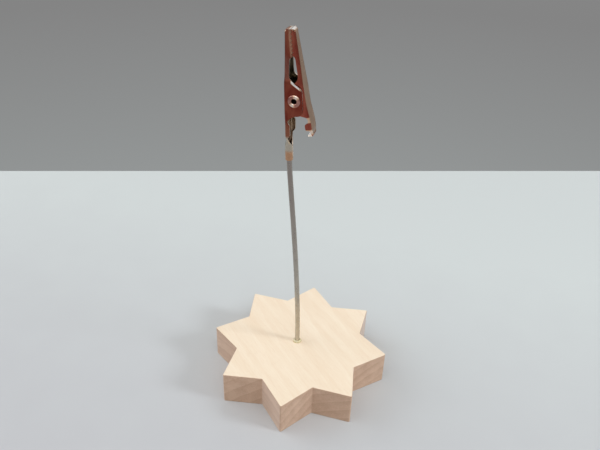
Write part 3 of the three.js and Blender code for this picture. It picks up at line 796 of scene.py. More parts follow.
def glue_outline():
    """Down the wire, along the countersink, over the rim and back up in a round swell"""
    inner = WIRE_RADIUS + GLUE_GAP
    rim = HOLE_RADIUS + COUNTERSINK
    low = STAR_THICKNESS - GLUE_DEPTH
    face = STAR_THICKNESS + GLUE_LIFT
    points = [(inner, low, 0), (HOLE_RADIUS + GLUE_SLACK, low, 0)]
    points += [(rim - GLUE_GAP, face, 0), (rim + GLUE_SPREAD, face, 1)]
    for step in range(1, GLUE_STEPS + 1):
        angle = QUARTER * step / GLUE_STEPS
        radius = inner + (rim + GLUE_SPREAD - inner) * math.cos(angle)
        points.append((radius, face + GLUE_CLIMB * math.sin(angle), math.cos(angle)))
    return points


def upright_ring(radius, angle, height):
    """A ring point round the wire's foot"""
    return (HOLE_SPOT + Vector((radius * math.cos(angle), radius * math.sin(angle), height))) * MM


def glue_run(angle):
    """How far the glue ran out on each side"""
    return GLUE_RUN * math.sin(2 * angle + GLUE_RUN_TURN) + GLUE_RIPPLE * math.sin(5 * angle)


glue = make_ring("glue_ring", glue_outline(), GLUE_SIDES, upright_ring, glue_run)
glue.data.materials.append(glue_finish())
settle(glue)
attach(glue, "holder")
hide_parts("glue_bead")

# %% [markdown]
# ## The clip's two jaws
# Each jaw starts as a flat blank stamped out of thin plated strip: teeth, ears, rivet holes and tabs are
# all cut while it lies flat. Then it is folded into a channel. Modelling the folded shape directly would
# mean working out every bent edge in space, so the mesh is made in the maker's order. The blank is one flat
# outline; straight lines are scored across it where it must bend; then a rule moves each point to its
# folded place. A solidify modifier gives the strip its thickness, and its rim keeps a second finish,
# because the shears leave bare metal along every cut.

# %% Strip and fold sizes
SHEET = 0.32
OUTER_BEND = 0.65
OUTER_NOSE = 0.8
OUTER_LIP = 0.55
BEND_RADIUS = OUTER_BEND - SHEET / 2
NOSE_RADIUS = OUTER_NOSE - SHEET / 2
LIP_RADIUS = OUTER_LIP - SHEET / 2
SPINE_OFFSET = 2.95
JAW_LENGTH = 18.9
NOSE_FOLD = JAW_LENGTH - OUTER_NOSE
JAW_SPREAD = math.radians(9.2)

# %% Heights and half widths along the jaws
TAIL_END = -10.9
TAIL_TOP = -7.2
EAR_BOTTOM = -4
EAR_TOP = 4.8
INNER_EAR_TOP = 4.4
NECK = 6.4
RELIEF_TOP = 11.5
HANDLE_OFFSET = 3.4
HANDLE_END = -10.5
HANDLE_STEP_END = -6.5
HANDLE_START = -2
TAB_BOTTOM = -8.9
FIXED_EAR_HALF_WIDTH = 3
MOVING_EAR_HALF_WIDTH = 2.52
GRIP_HALF_WIDTH = 1.9
NECK_HALF_WIDTH = 2.4
MOVING_NECK_HALF_WIDTH = NECK_HALF_WIDTH - 0.15
TIP_HALF_WIDTH = 1.5
TAIL_HALF_WIDTH = 2.75
HANDLE_END_HALF_WIDTH = 1.9

# %% Widths and spines of the two jaws
FIXED = {
    "half_widths": [
        (TAIL_END, TAIL_HALF_WIDTH), (TAIL_TOP, TAIL_HALF_WIDTH), (EAR_BOTTOM, FIXED_EAR_HALF_WIDTH),
        (EAR_TOP, FIXED_EAR_HALF_WIDTH), (NECK, NECK_HALF_WIDTH), (RELIEF_TOP, GRIP_HALF_WIDTH),
        (JAW_LENGTH + SHEET, TIP_HALF_WIDTH)],
    "spine": [(TAIL_END, -SPINE_OFFSET), (JAW_LENGTH, -SPINE_OFFSET)],
    "turn": Matrix.Identity(4),
}
MOVING = {
    "half_widths": [
        (HANDLE_END, HANDLE_END_HALF_WIDTH), (TAB_BOTTOM, MOVING_EAR_HALF_WIDTH),
        (INNER_EAR_TOP, MOVING_EAR_HALF_WIDTH), (NECK, MOVING_NECK_HALF_WIDTH),
        (RELIEF_TOP, GRIP_HALF_WIDTH), (JAW_LENGTH + SHEET, TIP_HALF_WIDTH)],
    "spine": [
        (HANDLE_END, -HANDLE_OFFSET), (HANDLE_STEP_END, -HANDLE_OFFSET),
        (HANDLE_START, -SPINE_OFFSET), (JAW_LENGTH, -SPINE_OFFSET)],
    "turn": Matrix.Rotation(-JAW_SPREAD, 4, "Y") @ Matrix.Rotation(math.pi, 4, "Z"),
}
CREASE_ROUND = 0.5
CREASE_WEIGHTS = (0.25, 0.5, 0.25)


def softened(stations, height):
    """Reads a size off (height, size) stations, with each crease rounded a little"""
    heights, sizes = zip(*stations)
    near = (height - CREASE_ROUND, height, height + CREASE_ROUND)
    return float(np.dot(np.interp(near, heights, sizes), CREASE_WEIGHTS))


# %% Folding the channel
FLAP_EDGE = 1.35
FLAP_SLACK = 0.01


def section(jaw, across, height):
    """How deep inside the spine, and how far aside, a point of the blank comes to lie
    across runs from 0 to 1 over half the spine, from 1 to 2 round the bend, and then in mm up the wall"""
    flat = softened(jaw["half_widths"], height) - SHEET / 2 - BEND_RADIUS
    reach = abs(across)
    turn = min(max(reach - 1, 0), 1) * QUARTER
    depth = BEND_RADIUS * (1 - math.cos(turn)) + max(reach - 2, 0)
    side = flat * min(reach, 1) + BEND_RADIUS * math.sin(turn)
    return depth, math.copysign(side, across)


def turned_end(depth, height, radius, run, way):
    """A spine that turns inward by a quarter, up at a nose (way 1) or down at a lip (way -1)"""
    angle = min(run / radius, QUARTER)
    over = max(run - radius * QUARTER, 0)
    spot = Vector((depth + radius * (1 - math.cos(angle)) + over, height + way * radius * math.sin(angle)))
    return spot, Vector((math.cos(angle), -way * math.sin(angle)))


def spine_place(jaw, across, height):
    """The spine's place at a height of the blank, and the way into the channel from there"""
    depth = softened(jaw["spine"], height) + SHEET / 2
    if height > NOSE_FOLD and abs(across) < FLAP_EDGE + FLAP_SLACK:
        return turned_end(depth, NOSE_FOLD, NOSE_RADIUS, height - NOSE_FOLD, 1)
    if height < HANDLE_END and jaw is MOVING:
        return turned_end(depth, HANDLE_END, LIP_RADIUS, HANDLE_END - height, -1)
    return Vector((depth, height)), Vector((1, 0))


# %% Rolling the crimp
CRIMP_CLEARANCE = 0.04
ROLL_RADIUS = WIRE_RADIUS + CRIMP_CLEARANCE + SHEET / 2
ROLL_END = CRIMP_TOP - 0.8
TAIL_FLAT = TAIL_HALF_WIDTH - SHEET / 2 - BEND_RADIUS


def smooth(share):
    """A share from 0 to 1 that starts and ends gently"""
    return share * share * (3 - 2 * share)


def rolled(across, height):
    """Where a point of the tail lies when it is rolled into the crimp barrel"""
    reach = abs(across)
    bend = BEND_RADIUS * QUARTER * min(max(reach - 1, 0), 1)
    length = TAIL_FLAT * min(reach, 1) + bend + max(reach - 2, 0)
    angle = math.copysign(length / ROLL_RADIUS, across)
    return Vector((CRIMP_CENTRE - ROLL_RADIUS * math.cos(angle), ROLL_RADIUS * math.sin(angle), height))


def folded(jaw, across, height):
    """A point of the blank in its folded place, in mm from the pivot"""
    depth, side = section(jaw, across, height)
    spot, inward = spine_place(jaw, across, height)
    spot = spot + inward * depth
    place = Vector((spot.x, side, spot.y))
    if jaw is FIXED and height < TAIL_END:
        share = min((TAIL_END - height) / (TAIL_END - ROLL_END), 1)
        place = place.lerp(rolled(across, height), smooth(share))
    return place


# %% Lines on the blank
CURVE_STEPS = 6


def across_at(jaw, depth, height):
    """The place across the blank of a wall edge that lies this deep from the pivot's line"""
    inside = depth - softened(jaw["spine"], height) - SHEET / 2
    if inside > BEND_RADIUS:
        return 2 + inside - BEND_RADIUS
    return 1 + math.acos(1 - max(inside, 0) / BEND_RADIUS) / QUARTER


def on_blank(jaw, line):
    """An edge given in folded places, as places on the flat blank"""
    return [(across_at(jaw, point.x, point.y), point.y) for point in line]


def curve(start, pull, end):
    """A rounded corner from start to end"""
    shares = [step / CURVE_STEPS for step in range(1, CURVE_STEPS + 1)]
    start, pull, end = Vector(start), Vector(pull), Vector(end)
    return [start * (1 - s) ** 2 + pull * 2 * s * (1 - s) + end * s**2 for s in shares]


def rounded_line(start, corners):
    """A line from a start point through named (depth, height, round) corners, as the shears follow it"""
    line = [Vector(start)]
    rows = list(corners.values())
    for (depth, height, size), after in zip(rows, rows[1:]):
        corner = Vector((depth, height))
        arrive = corner + (line[-1] - corner).normalized() * size
        leave = corner + (Vector(after[:2]) - corner).normalized() * size
        line.append(arrive)
        line += curve(arrive, corner, leave)
    return line + [Vector(rows[-1][:2])]


# %% Gripping edges
TOOTH_COUNT = 6
TOOTH_PITCH = 1.05
TOOTH_HALF_HEIGHT = 0.26
TEETH_START = 11.9
JAW_GAP = 0.12
GRIP_SHIFT = 0.3
RELIEF_ROUND = 1
RELIEF_EDGE = 1.55
MOVING_RELIEF_EDGE = 1.95


def meeting_point(distance, towards):
    """A point on the line where the two jaws meet, half way between their spines"""
    half = JAW_SPREAD / 2
    depth = towards * math.cos(half) - distance * math.sin(half)
    return Vector((depth, towards * math.sin(half) + distance * math.cos(half)))


def grip_edge(phase, relief_edge):
    """The nose, the row of teeth and the relief below them; the two jaws' teeth are half a pitch apart"""
    reach = phase * GRIP_SHIFT - JAW_GAP / 2
    line = [meeting_point(JAW_LENGTH, reach)]
    for step in range(2 * TOOTH_COUNT, -1, -1):
        side = phase if step % 2 == 0 else -phase
        along = TEETH_START + step * TOOTH_PITCH / 2
        line.append(meeting_point(along, reach + side * TOOTH_HALF_HEIGHT))
    return line + curve(line[-1], (-relief_edge, RELIEF_TOP), (-relief_edge, RELIEF_TOP - RELIEF_ROUND))


fixed_grip = grip_edge(1, RELIEF_EDGE)
moving_grip = grip_edge(-1, MOVING_RELIEF_EDGE)
depths = [point.x for point in fixed_grip + moving_grip]
print("gripping edges lie", round(min(depths), 2), "to", round(max(depths), 2), "mm from the pivot's line")

# %% Outline of the fixed blank
EAR_EDGE = 2.3
EAR_SLOPE_TOP = 5.95
EAR_SLOPE_END = 3.3
HEEL = -4.4
TAIL_EDGE = 1.4
# Each corner is given by its depth and height from the pivot, and how far it is rounded
FIXED_EAR = {
    "relief end": (-RELIEF_EDGE, EAR_SLOPE_TOP, 1),
    "ear top": (EAR_EDGE, EAR_SLOPE_END, 1),
    "level with the rivet": (EAR_EDGE, 0, 0),
}
FIXED_TAIL = {
    "ear corner": (EAR_EDGE, HEEL, 1.8),
    "heel": (-0.15, HEEL, 1),
    "scallop top": (-2, -5.9, 0.6),
    "scallop bottom": (-2, -6.7, 0.4),
    "tab top": (-TAIL_EDGE, -7.5, 0.5),
    "tab bottom": (-TAIL_EDGE, TAIL_END + 1.2, 0),
}


def fixed_edges():
    """The fixed jaw's edge above and below the rivet, each ending at the ear's edge level with the pivot"""
    above = fixed_grip + rounded_line(fixed_grip[-1], FIXED_EAR)[1:]
    return above, rounded_line((EAR_EDGE, 0), FIXED_TAIL)


# %% Outline of the moving blank
INNER_EAR_ANGLES = np.radians(np.arange(60, -76, -7.5))
MOVING_SHOULDER = {
    "relief end": (-MOVING_RELIEF_EDGE, 5.6, 1),
    "shoulder": (0.2, 4.1, 1),
}
MOVING_HANDLE = {
    "heel": (0.2, -4.2, 1),
    "scallop top": (-2.75, -5.2, 0.6),
    "scallop bottom": (-2.75, -6.6, 0.5),
    "tab top": (-1.65, -7.1, 0.5),
    "tab bottom": (-1.65, TAB_BOTTOM, 0.5),
    "handle step": (-2.85, TAB_BOTTOM - 0.1, 0.3),
    "handle end": (-2.9, HANDLE_END, 0),
}


def moving_edges():
    """The moving jaw's edge above and below the rivet: its inner ear is round, and its handle has a tab"""
    ear = [EAR_EDGE * Vector((math.cos(angle), math.sin(angle))) for angle in INNER_EAR_ANGLES]
    level = min(range(len(ear)), key=lambda index: abs(ear[index].y))
    ear[level] = Vector((EAR_EDGE, 0))
    shoulder = rounded_line(moving_grip[-1], {**MOVING_SHOULDER, "ear": (*ear[0], 0)})
    handle = rounded_line(ear[-1], MOVING_HANDLE)
    return moving_grip + shoulder[1:] + ear[1:level + 1], ear[level:] + handle[1:]


# %% Ends of the blanks
FLAP_GAP = 0.05
FLAP_NOTCH = (0.15, 0.06)
NOSE_CORNER_DROP = 0.01
SEAM_ANGLE = math.radians(166)
CRIMP_EDGE = 2 + ROLL_RADIUS * SEAM_ANGLE - TAIL_FLAT - BEND_RADIUS * QUARTER
LIP_START = 1.75
LIP_EDGE = 1.55
LIP_MIDDLE = 0.8
LIP_FLANGE = 1.2


def nose_flap(edge):
    """The flap that folds over the nose, and the corner notch between it and the wall"""
    reach = edge[0].x - (NOSE_RADIUS - SPINE_OFFSET + SHEET / 2)
    top = NOSE_FOLD + NOSE_RADIUS * QUARTER + reach - FLAP_GAP
    notch = (FLAP_EDGE + FLAP_NOTCH[0], NOSE_FOLD - FLAP_NOTCH[1])
    return [(FLAP_EDGE, top), (FLAP_EDGE, NOSE_FOLD), notch, (2, JAW_LENGTH - NOSE_CORNER_DROP)]


def crimp_edge(start):
    """From the tail in to the barrel's seam, and down to its end"""
    line = rounded_line(start, {
        "throat top": (start[0], TAIL_END + 0.3, 0.5),
        "throat bottom": (CRIMP_EDGE, TAIL_END - 0.7, 0.5),
        "barrel top": (CRIMP_EDGE - 0.1, CRIMP_TOP, 0.6),
        "barrel bottom": (CRIMP_EDGE, CRIMP_BOTTOM, 0)})
    return [tuple(point) for point in line][1:]


def lip_edge():
    """The lip that turns in under the handle, with rounded corners"""
    end = HANDLE_END - LIP_RADIUS * QUARTER - LIP_FLANGE
    line = rounded_line((LIP_START, HANDLE_END), {
        "lip shoulder": (LIP_EDGE, HANDLE_END - 0.2, 0.15),
        "lip corner": (LIP_EDGE, end, 0.35),
        "lip end": (LIP_MIDDLE, end, 0)})
    return [tuple(point) for point in line][1:]


def blank_edges(jaw):
    """The right-hand edge of a blank, above and below the rivet, both running to the ear"""
    above, below = fixed_edges() if jaw is FIXED else moving_edges()
    upper = nose_flap(above) + on_blank(jaw, above)
    lower = on_blank(jaw, below)
    lower += crimp_edge(lower[-1]) if jaw is FIXED else lip_edge()
    return upper, lower[::-1]


# %% Scoring a blank
SCORE_STEP = 0.4
WALL_STEP = 0.4
BEND_SCORES = 5
SPINE_SCORES = 6
SLOPE_HIGHLIGHT_DROPS = (0.5, 0.65, 0.8)


def score_places(edge):
    """Where a blank is scored: round each bend, and at even steps along its length"""
    spine = [step / SPINE_SCORES for step in range(1, SPINE_SCORES)]
    bends = [1 + step / BEND_SCORES for step in range(BEND_SCORES + 1)]
    walls = list(np.arange(2 + WALL_STEP, max(place for place, _ in edge), WALL_STEP))
    across = [0, *spine, *bends, *walls, *[-place for place in spine + bends + walls]]
    heights = [height for _, height in edge]
    return across, np.arange(min(heights) + SCORE_STEP / 2, max(heights), SCORE_STEP)


def slope_scores():
    """Lines along the slanting top of each fixed ear, where its painted highlight begins and ends"""
    corner = across_at(FIXED, -RELIEF_EDGE, EAR_SLOPE_TOP)
    lines = []
    for side in (1, -1):
        normal = Vector((side * (EAR_SLOPE_TOP - EAR_SLOPE_END), EAR_EDGE + RELIEF_EDGE, 0)).normalized()
        lines += [(Vector((side * corner, EAR_SLOPE_TOP - drop, 0)), normal) for drop in SLOPE_HIGHLIGHT_DROPS]
    return lines


# %% Cutting and folding a blank
RIVET_HOLE = 1.06
HOLE_STEPS = 16
WELD_ON_BLANK = 0.002
SCORE_SNAP = 0.0005
# Four numbers per point: wear with painted highlights, painted highlights inside, copper, and grey with the
# throat's painted highlight and shade
WEAR_AND_PAINTED_LIGHT_LAYERS = ("wear_and_painted_highlight", "inside_painted_highlight", "coppery", "grey_neck_and_painted_throat")


def half_outline(edge, way):
    """Half of the blank, above (way 1) or below (way -1) the rivet, with half of each rivet hole"""
    centre = across_at(FIXED, 0, 0)
    angles = [math.pi * step / HOLE_STEPS for step in range(HOLE_STEPS + 1)]
    hole = [(centre + RIVET_HOLE * math.cos(a), way * RIVET_HOLE * math.sin(a)) for a in angles]
    right = edge + hole
    return right + [(-across, height) for across, height in reversed(right)]


def cut_blank(jaw):
    """The flat blank as a scored mesh, with across as X and height as Y"""
    blank = bmesh.new()
    upper, lower = blank_edges(jaw)
    for edge, way in ((upper, 1), (lower, -1)):
        corners = [blank.verts.new((*point, 0)) for point in half_outline(edge, way)]
        blank.faces.new(corners[::way])
    bmesh.ops.remove_doubles(blank, verts=blank.verts, dist=WELD_ON_BLANK)
    across, heights = score_places(upper + lower)
    lines = [(Vector((place, 0, 0)), Vector((1, 0, 0))) for place in across]
    lines += [(Vector((0, place, 0)), Vector((0, 1, 0))) for place in heights]
    lines += slope_scores() if jaw is FIXED else []
    for point, normal in lines:
        parts = blank.verts[:] + blank.edges[:] + blank.faces[:]
        bmesh.ops.bisect_plane(blank, geom=parts, dist=SCORE_SNAP, plane_co=point, plane_no=normal)
    return blank


def fold_blank(name, jaw, wear_and_painted_light):
    """Folds a blank into its place in the scene and keeps, at each point, how far its wear, painted
    highlights and painted shade go
    """
    blank = cut_blank(jaw)
    worn = [blank.verts.layers.float.new(layer) for layer in WEAR_AND_PAINTED_LIGHT_LAYERS]
    into_scene = Matrix.Translation(PIVOT * MM) @ CLIP_TURN @ jaw["turn"]
    for point in blank.verts:
        across, height = point.co.x, point.co.y
        for layer, amount in zip(worn, wear_and_painted_light(across, height)):
            point[layer] = amount
        point.co = into_scene @ (folded(jaw, across, height) * MM)
    mesh = bpy.data.meshes.new(name)
    blank.to_mesh(mesh)
    blank.free()
    return add_object(name, mesh)


# %% [markdown]
# ## The clip's plating
# The strip's faces are coloured a dark reddish brown, which is painted reflection: a bright plated strip
# mirroring red-brown surroundings, given as its colour, and the moving jaw has a redder copy than the
# fixed one. On the spines the brown gives way to tan, partly wear where fingers rub and partly painted
# reflection, and along the teeth, which bite into every card, it is worn tan. Over the nose, on the lip
# and the handle's end, in the handle's scallop and along the slanting top of the fixed ear it turns tan
# and then bright: painted highlights where these faces catch the light. The throat above the crimp is
# painted grey outside as a highlight and dark inside as shade, and the lower part of the barrel shows
# copper. A noise alone would put these marks at random places. So how far each change has gone is kept
# on the mesh itself, as four numbers per point, because only the blank knows which part is spine, nose
# or barrel once it is folded.

# %% Plating colours, most of them painted reflection, highlight or shade
# Painted reflection: the dark red-brown of faces that mirror red-brown surroundings, given as colour
REFLECTED_BROWN = screen_colour(117, 49, 38)
REFLECTED_LIGHT_BROWN = screen_colour(139, 74, 57)
# A redder copy of the same painted reflection, for the moving jaw
REFLECTED_RED = screen_colour(139, 58, 48)
REFLECTED_LIGHT_RED = screen_colour(161, 86, 69)
# Tan for wear and painted reflection, white for painted highlights
TAN_WEAR_AND_HIGHLIGHT = screen_colour(222, 184, 152)
WHITE_PAINTED_HIGHLIGHT = screen_colour(252, 249, 246)
PLATE_COPPER = screen_colour(190, 146, 114)
# Painted highlight: light grey for the outside of the throat above the crimp
GREY_PAINTED_HIGHLIGHT = screen_colour(182, 184, 172)
# Painted shade: dark for the inside of the throat, where shade falls
DARK_PAINTED_SHADE = screen_colour(74, 66, 56)
STRIP_OLIVE = screen_colour(148, 136, 115)
STRIP_LIGHT_OLIVE = screen_colour(174, 162, 140)

# %% Plating finish
PLATE_CLOUDS = (2.2, 2.2, 5)
PLATE_CLOUD_RANGE = (0.35, 0.7)
PLATE_SCRATCHES = (0.08, 0.08, 1.6)
SCRATCH_SHARE = 0.4
SCRATCH_RELIEF = 0.01
PATCHINESS = 0.25
TAN_RANGE = (0.1, 0.5)
HIGHLIGHT_RANGE = (0.5, 0.95)
PLATE_ROUGHNESS = (0.2, 0.42)


def kept_number(tree, layer):
    """A number that the mesh keeps at each point"""
    return add_node(tree, "ShaderNodeAttribute", {}, attribute_name=layer).outputs["Fac"]


def plating_finish(name, dark, light, wear_and_light_layer="wear_and_painted_highlight", throat_painted_colour=GREY_PAINTED_HIGHLIGHT):
    """Plating whose colour, between dark and light, is painted reflection; it turns tan and then bright
    with wear and painted highlights, takes a painted throat colour and turns copper, as far as the kept
    numbers say
    """
    material, tree, place = new_finish(name)
    clouds = drawn_noise(tree, place, PLATE_CLOUDS, detail=4)
    scratches = drawn_noise(tree, place, PLATE_SCRATCHES, detail=3)
    patch = scaled_sum(tree, blend_values(tree, SCRATCH_SHARE, clouds, scratches), 1, -0.5)
    uneven = scaled_sum(tree, patch, PATCHINESS, kept_number(tree, wear_and_light_layer))
    colour = blend_colours(tree, stretch(tree, clouds, *PLATE_CLOUD_RANGE), dark, light)
    # Tan and then white where the kept number and a patchy noise are high: wear and painted highlights
    colour = blend_colours(tree, stretch(tree, uneven, *TAN_RANGE), colour, TAN_WEAR_AND_HIGHLIGHT)
    colour = blend_colours(tree, stretch(tree, uneven, *HIGHLIGHT_RANGE), colour, WHITE_PAINTED_HIGHLIGHT)
    # The throat's painted colour: a grey highlight outside, dark shade inside
    colour = blend_colours(tree, kept_number(tree, "grey_neck_and_painted_throat"), colour, throat_painted_colour)
    set_surface(tree, {
        "Base Color": blend_colours(tree, kept_number(tree, "coppery"), colour, PLATE_COPPER),
        "Roughness": blend_values(tree, clouds, *PLATE_ROUGHNESS),
        "Normal": add_bump(tree, scratches, strength=0.2, depth=SCRATCH_RELIEF), "Metallic": 1})
    return material


# Two copies of the painted reflection with its highlights: brown for the fixed jaw, redder for the moving
# one
BROWN_PAINTED_REFLECTION = plating_finish("brown_plating_painted_reflection", REFLECTED_BROWN, REFLECTED_LIGHT_BROWN)
RED_PAINTED_REFLECTION = plating_finish("red_plating_painted_reflection", REFLECTED_RED, REFLECTED_LIGHT_RED)
# The inside of the strip: olive, with painted highlights on the nose and lip and painted shade in the
# throat
INSIDE_WITH_PAINTED_LIGHT = plating_finish("strip_inside_painted_light", STRIP_OLIVE, STRIP_LIGHT_OLIVE, "inside_painted_highlight", DARK_PAINTED_SHADE)
CUT_EDGE = metal_finish(
    "cut_edge", screen_colour(206, 184, 164), screen_colour(236, 224, 210), (0.6, 0.6, 0.6), roughness=0.28)
print("platings", BROWN_PAINTED_REFLECTION.name, RED_PAINTED_REFLECTION.name, INSIDE_WITH_PAINTED_LIGHT.name, CUT_EDGE.name)

# %% How strong each wear and painted highlight is, and where it fades
# The spines: partly wear where fingers rub, partly painted reflection
FIXED_SPINE_WEAR_AND_PAINTED_REFLECTION = 0.24
FIXED_SPINE_FADE = (1.1, 1.5)
MOVING_SPINE_WEAR_AND_PAINTED_REFLECTION = 0.58
MOVING_SPINE_FADE = (0.85, 1.3)
FIXED_NOSE_START = 1.2
MOVING_NOSE_START = 0.1
NOSE_RISE = 0.6
NOSE_FADE = (1.6, 2.4)
# Painted highlights: the slanting edge of the ear, the handle's scallop and the handle's end
SLOPE_HIGHLIGHT = 0.95
SLOPE_RISE = (0.35, 0.85)
SLOPE_FADE = (2.6, 3.9)
TEETH_WEAR = 0.26
TEETH_BAND = (0.8, 0.1)
SCALLOP_HIGHLIGHT = 0.6
SCALLOP_MIDDLE = -5.9
SCALLOP_FADE = (0.5, 0.9)
SCALLOP_DEPTH_FADE = (2.9, 3.4)
HANDLE_END_HIGHLIGHT = 0.7
GRIP_COPPER = 0.05
TAIL_COPPER = 0.28
MOVING_COPPER = 0.07
NECK_GREY = 0.09


# %% Wear and painted highlights that both jaws share
def rises(value, start, end):
    """0 before start, 1 after end, smooth between"""
    return smooth(min(max((value - start) / (end - start), 0), 1))


def fades(value, full, none):
    """1 up to full, 0 from none on, smooth between"""
    return rises(-value, -none, -full)


def nose_highlight(across, height, start):
    """Painted highlight on top of the nose flap, from so far past its fold"""
    fold = NOSE_FOLD + start
    return rises(height, fold, fold + NOSE_RISE) * fades(abs(across), *NOSE_FADE)


def teeth_wear(across, height):
    """Rubbed along the teeth, which bite into every card"""
    line = across_at(FIXED, -height * math.tan(JAW_SPREAD / 2), height)
    near = rises(abs(across), line - TEETH_BAND[0], line - TEETH_BAND[1])
    return TEETH_WEAR * near * rises(height, RELIEF_TOP - 0.5, RELIEF_TOP + 0.5)


# %% Wear and painted light of each jaw
def slope_highlight(across, height):
    """Painted highlight along the slanting top of the fixed ear, where its edge catches the light"""
    inside = abs(across) - across_at(FIXED, -RELIEF_EDGE, EAR_SLOPE_TOP)
    line = EAR_SLOPE_TOP - inside * (EAR_SLOPE_TOP - EAR_SLOPE_END) / (EAR_EDGE + RELIEF_EDGE)
    worn = fades(abs(height - line), SLOPE_HIGHLIGHT_DROPS[0], SLOPE_HIGHLIGHT_DROPS[-1])
    return SLOPE_HIGHLIGHT * worn * rises(inside, *SLOPE_RISE) * fades(inside, *SLOPE_FADE)


def fixed_wear_and_painted_light(across, height):
    """Painted highlights on the nose and slope, wear and painted reflection on the spine, wear on the
    teeth, copper on the grip, tail and crimp, grey on the neck, and painted highlight and shade at the
    throat
    """
    spine = FIXED_SPINE_WEAR_AND_PAINTED_REFLECTION * fades(abs(across), *FIXED_SPINE_FADE)
    nose = nose_highlight(across, height, FIXED_NOSE_START)
    grip = GRIP_COPPER * rises(height, RELIEF_TOP - 1, RELIEF_TOP + 1)
    tail = TAIL_COPPER * fades(height, TAIL_END + 2, TAIL_TOP + 2)
    copper = max(grip, tail, fades(height, CRIMP_TOP - 2.6, CRIMP_TOP - 1.2))
    neck = NECK_GREY * rises(height, NECK - 1.5, NECK) * fades(height, RELIEF_TOP - 1, RELIEF_TOP + 1)
    # Painted at the throat: grey highlight outside, dark shade inside; the neck gets a faint grey
    grey = max(neck, fades(height, TAIL_END - 0.6, TAIL_END + 0.2))
    return max(nose, spine, teeth_wear(across, height), slope_highlight(across, height)), nose, copper, grey


def moving_wear_and_painted_light(across, height):
    """Tan along the spine that the finger meets, partly wear and partly painted reflection, and painted
    highlights on the nose, in the scallop, on the handle's end and on the lip
    """
    above_lip = rises(height, HANDLE_END - 0.3, HANDLE_END + 0.8)
    spine = MOVING_SPINE_WEAR_AND_PAINTED_REFLECTION * above_lip * fades(abs(across), *MOVING_SPINE_FADE)
    in_scallop = fades(abs(height - SCALLOP_MIDDLE), *SCALLOP_FADE)
    scallop = SCALLOP_HIGHLIGHT * in_scallop * fades(abs(across), *SCALLOP_DEPTH_FADE)
    handle = HANDLE_END_HIGHLIGHT * above_lip * fades(height, TAB_BOTTOM - 0.1, TAB_BOTTOM + 0.3)
    # Painted highlights on the lip and on its flange
    lip = fades(height, HANDLE_END - 0.1, HANDLE_END + 0.6)
    flange_highlight = fades(height, HANDLE_END - 0.7, HANDLE_END - 0.4)
    nose = nose_highlight(across, height, MOVING_NOSE_START)
    wear_and_painted_highlight = max(nose, spine, scallop, handle, flange_highlight, teeth_wear(across, height))
    return wear_and_painted_highlight, max(nose, lip), MOVING_COPPER, 0


# %% Make the jaws
STAMPED_EDGE = 0.05


def make_jaw(name, jaw, wear_and_painted_light, plating, body, node):
    """A folded jaw with its strip's thickness and its stamped edges"""
    piece = fold_blank(name, jaw, wear_and_painted_light)
    for finish in (plating, CUT_EDGE, INSIDE_WITH_PAINTED_LIGHT):
        piece.data.materials.append(finish)
    strip = piece.modifiers.new("strip", "SOLIDIFY")
    strip.thickness = SHEET * MM
    strip.offset = 0
    strip.use_even_offset = True
    strip.material_offset_rim = 1
    strip.material_offset = 2
    settle(piece)
    break_edges(piece, STAMPED_EDGE, segments=2, sharpest=50)
    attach(piece, body)
    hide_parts(node)
    return piece


fixed_jaw = make_jaw("fixed_jaw_strip", FIXED, fixed_wear_and_painted_light, BROWN_PAINTED_REFLECTION, "holder", "fixed_jaw")
moving_jaw = make_jaw("moving_jaw_strip", MOVING, moving_wear_and_painted_light, RED_PAINTED_REFLECTION, "jaw", "moving_jaw")

# %% [markdown]
# ## The hollow rivet
# The two jaws turn on a short tube whose ends are rolled over into rings. It is a turned outline like the
# glue, only lying on its side along the pivot. Its rims carry painted highlights on two opposite sides,
# where the rolled rims catch the light, and the inside of its bore is painted dark as shade. An even ring
# of bright metal would be simpler, but a number per point, set by the angle round the pivot, puts the
# painted highlight on those two sides.

# %% Rivet outline
RIVET_RADIUS = 1
RIVET_BORE = 0.7
RIVET_HEAD_RADIUS = 1.8
RIVET_HEAD_HEIGHT = 0.42
RIVET_SEAT = FIXED_EAR_HALF_WIDTH + 0.06
RIVET_UNDERCUT = 0.03
RIVET_HEAD_EASE = 0.04
RIVET_SIDES = 64
HEAD_STEPS = 14


def rivet_outline():
    """Up the shank, out under the head, over the rolled rim and down the bore, for both ends"""
    middle = (RIVET_HEAD_RADIUS + RIVET_BORE) / 2
    half = (RIVET_HEAD_RADIUS - RIVET_BORE) / 2
    under = RIVET_SEAT - RIVET_UNDERCUT
    angles = [math.pi * step / HEAD_STEPS for step in range(HEAD_STEPS + 1)]
    rim = [(middle + half * math.cos(a), RIVET_SEAT + RIVET_HEAD_HEIGHT * math.sin(a), 0) for a in angles]
    near = [(RIVET_RADIUS, under, 0), (RIVET_HEAD_RADIUS - RIVET_HEAD_EASE, under, 0)] + rim
    far = [(radius, -height, 0) for radius, height, _ in reversed(near)]
    return near + far


def rivet_ring(radius, angle, height):
    """A ring point round the pivot"""
    return clip_point(radius * math.cos(angle), height, radius * math.sin(angle)) * MM


# %% Make the rivet
# Painted highlight: the rims are brightened on two opposite sides, where they catch the light
RIM_HIGHLIGHT_ANGLE = math.radians(66)
RIM_HIGHLIGHT = 0.72
BORE_REACH = RIVET_BORE + 0.08
# The rim's browns are the same painted reflection as the jaws'
RIVET_RIM = plating_finish("rivet_rim", screen_colour(150, 103, 94), screen_colour(182, 136, 123))
# Painted shade: the inside of the bore is given a dark colour
RIVET_BORE_SHADE = metal_finish(
    "rivet_bore_painted_shade", screen_colour(70, 46, 36), screen_colour(96, 66, 52), (1.2, 1.2, 1.2), roughness=0.5)


def round_pivot(place):
    """A place in the scene as a flat vector from the pivot's axis, in mm"""
    from_pivot = Vector(place) / MM - PIVOT
    return Vector((from_pivot.x, from_pivot.z))


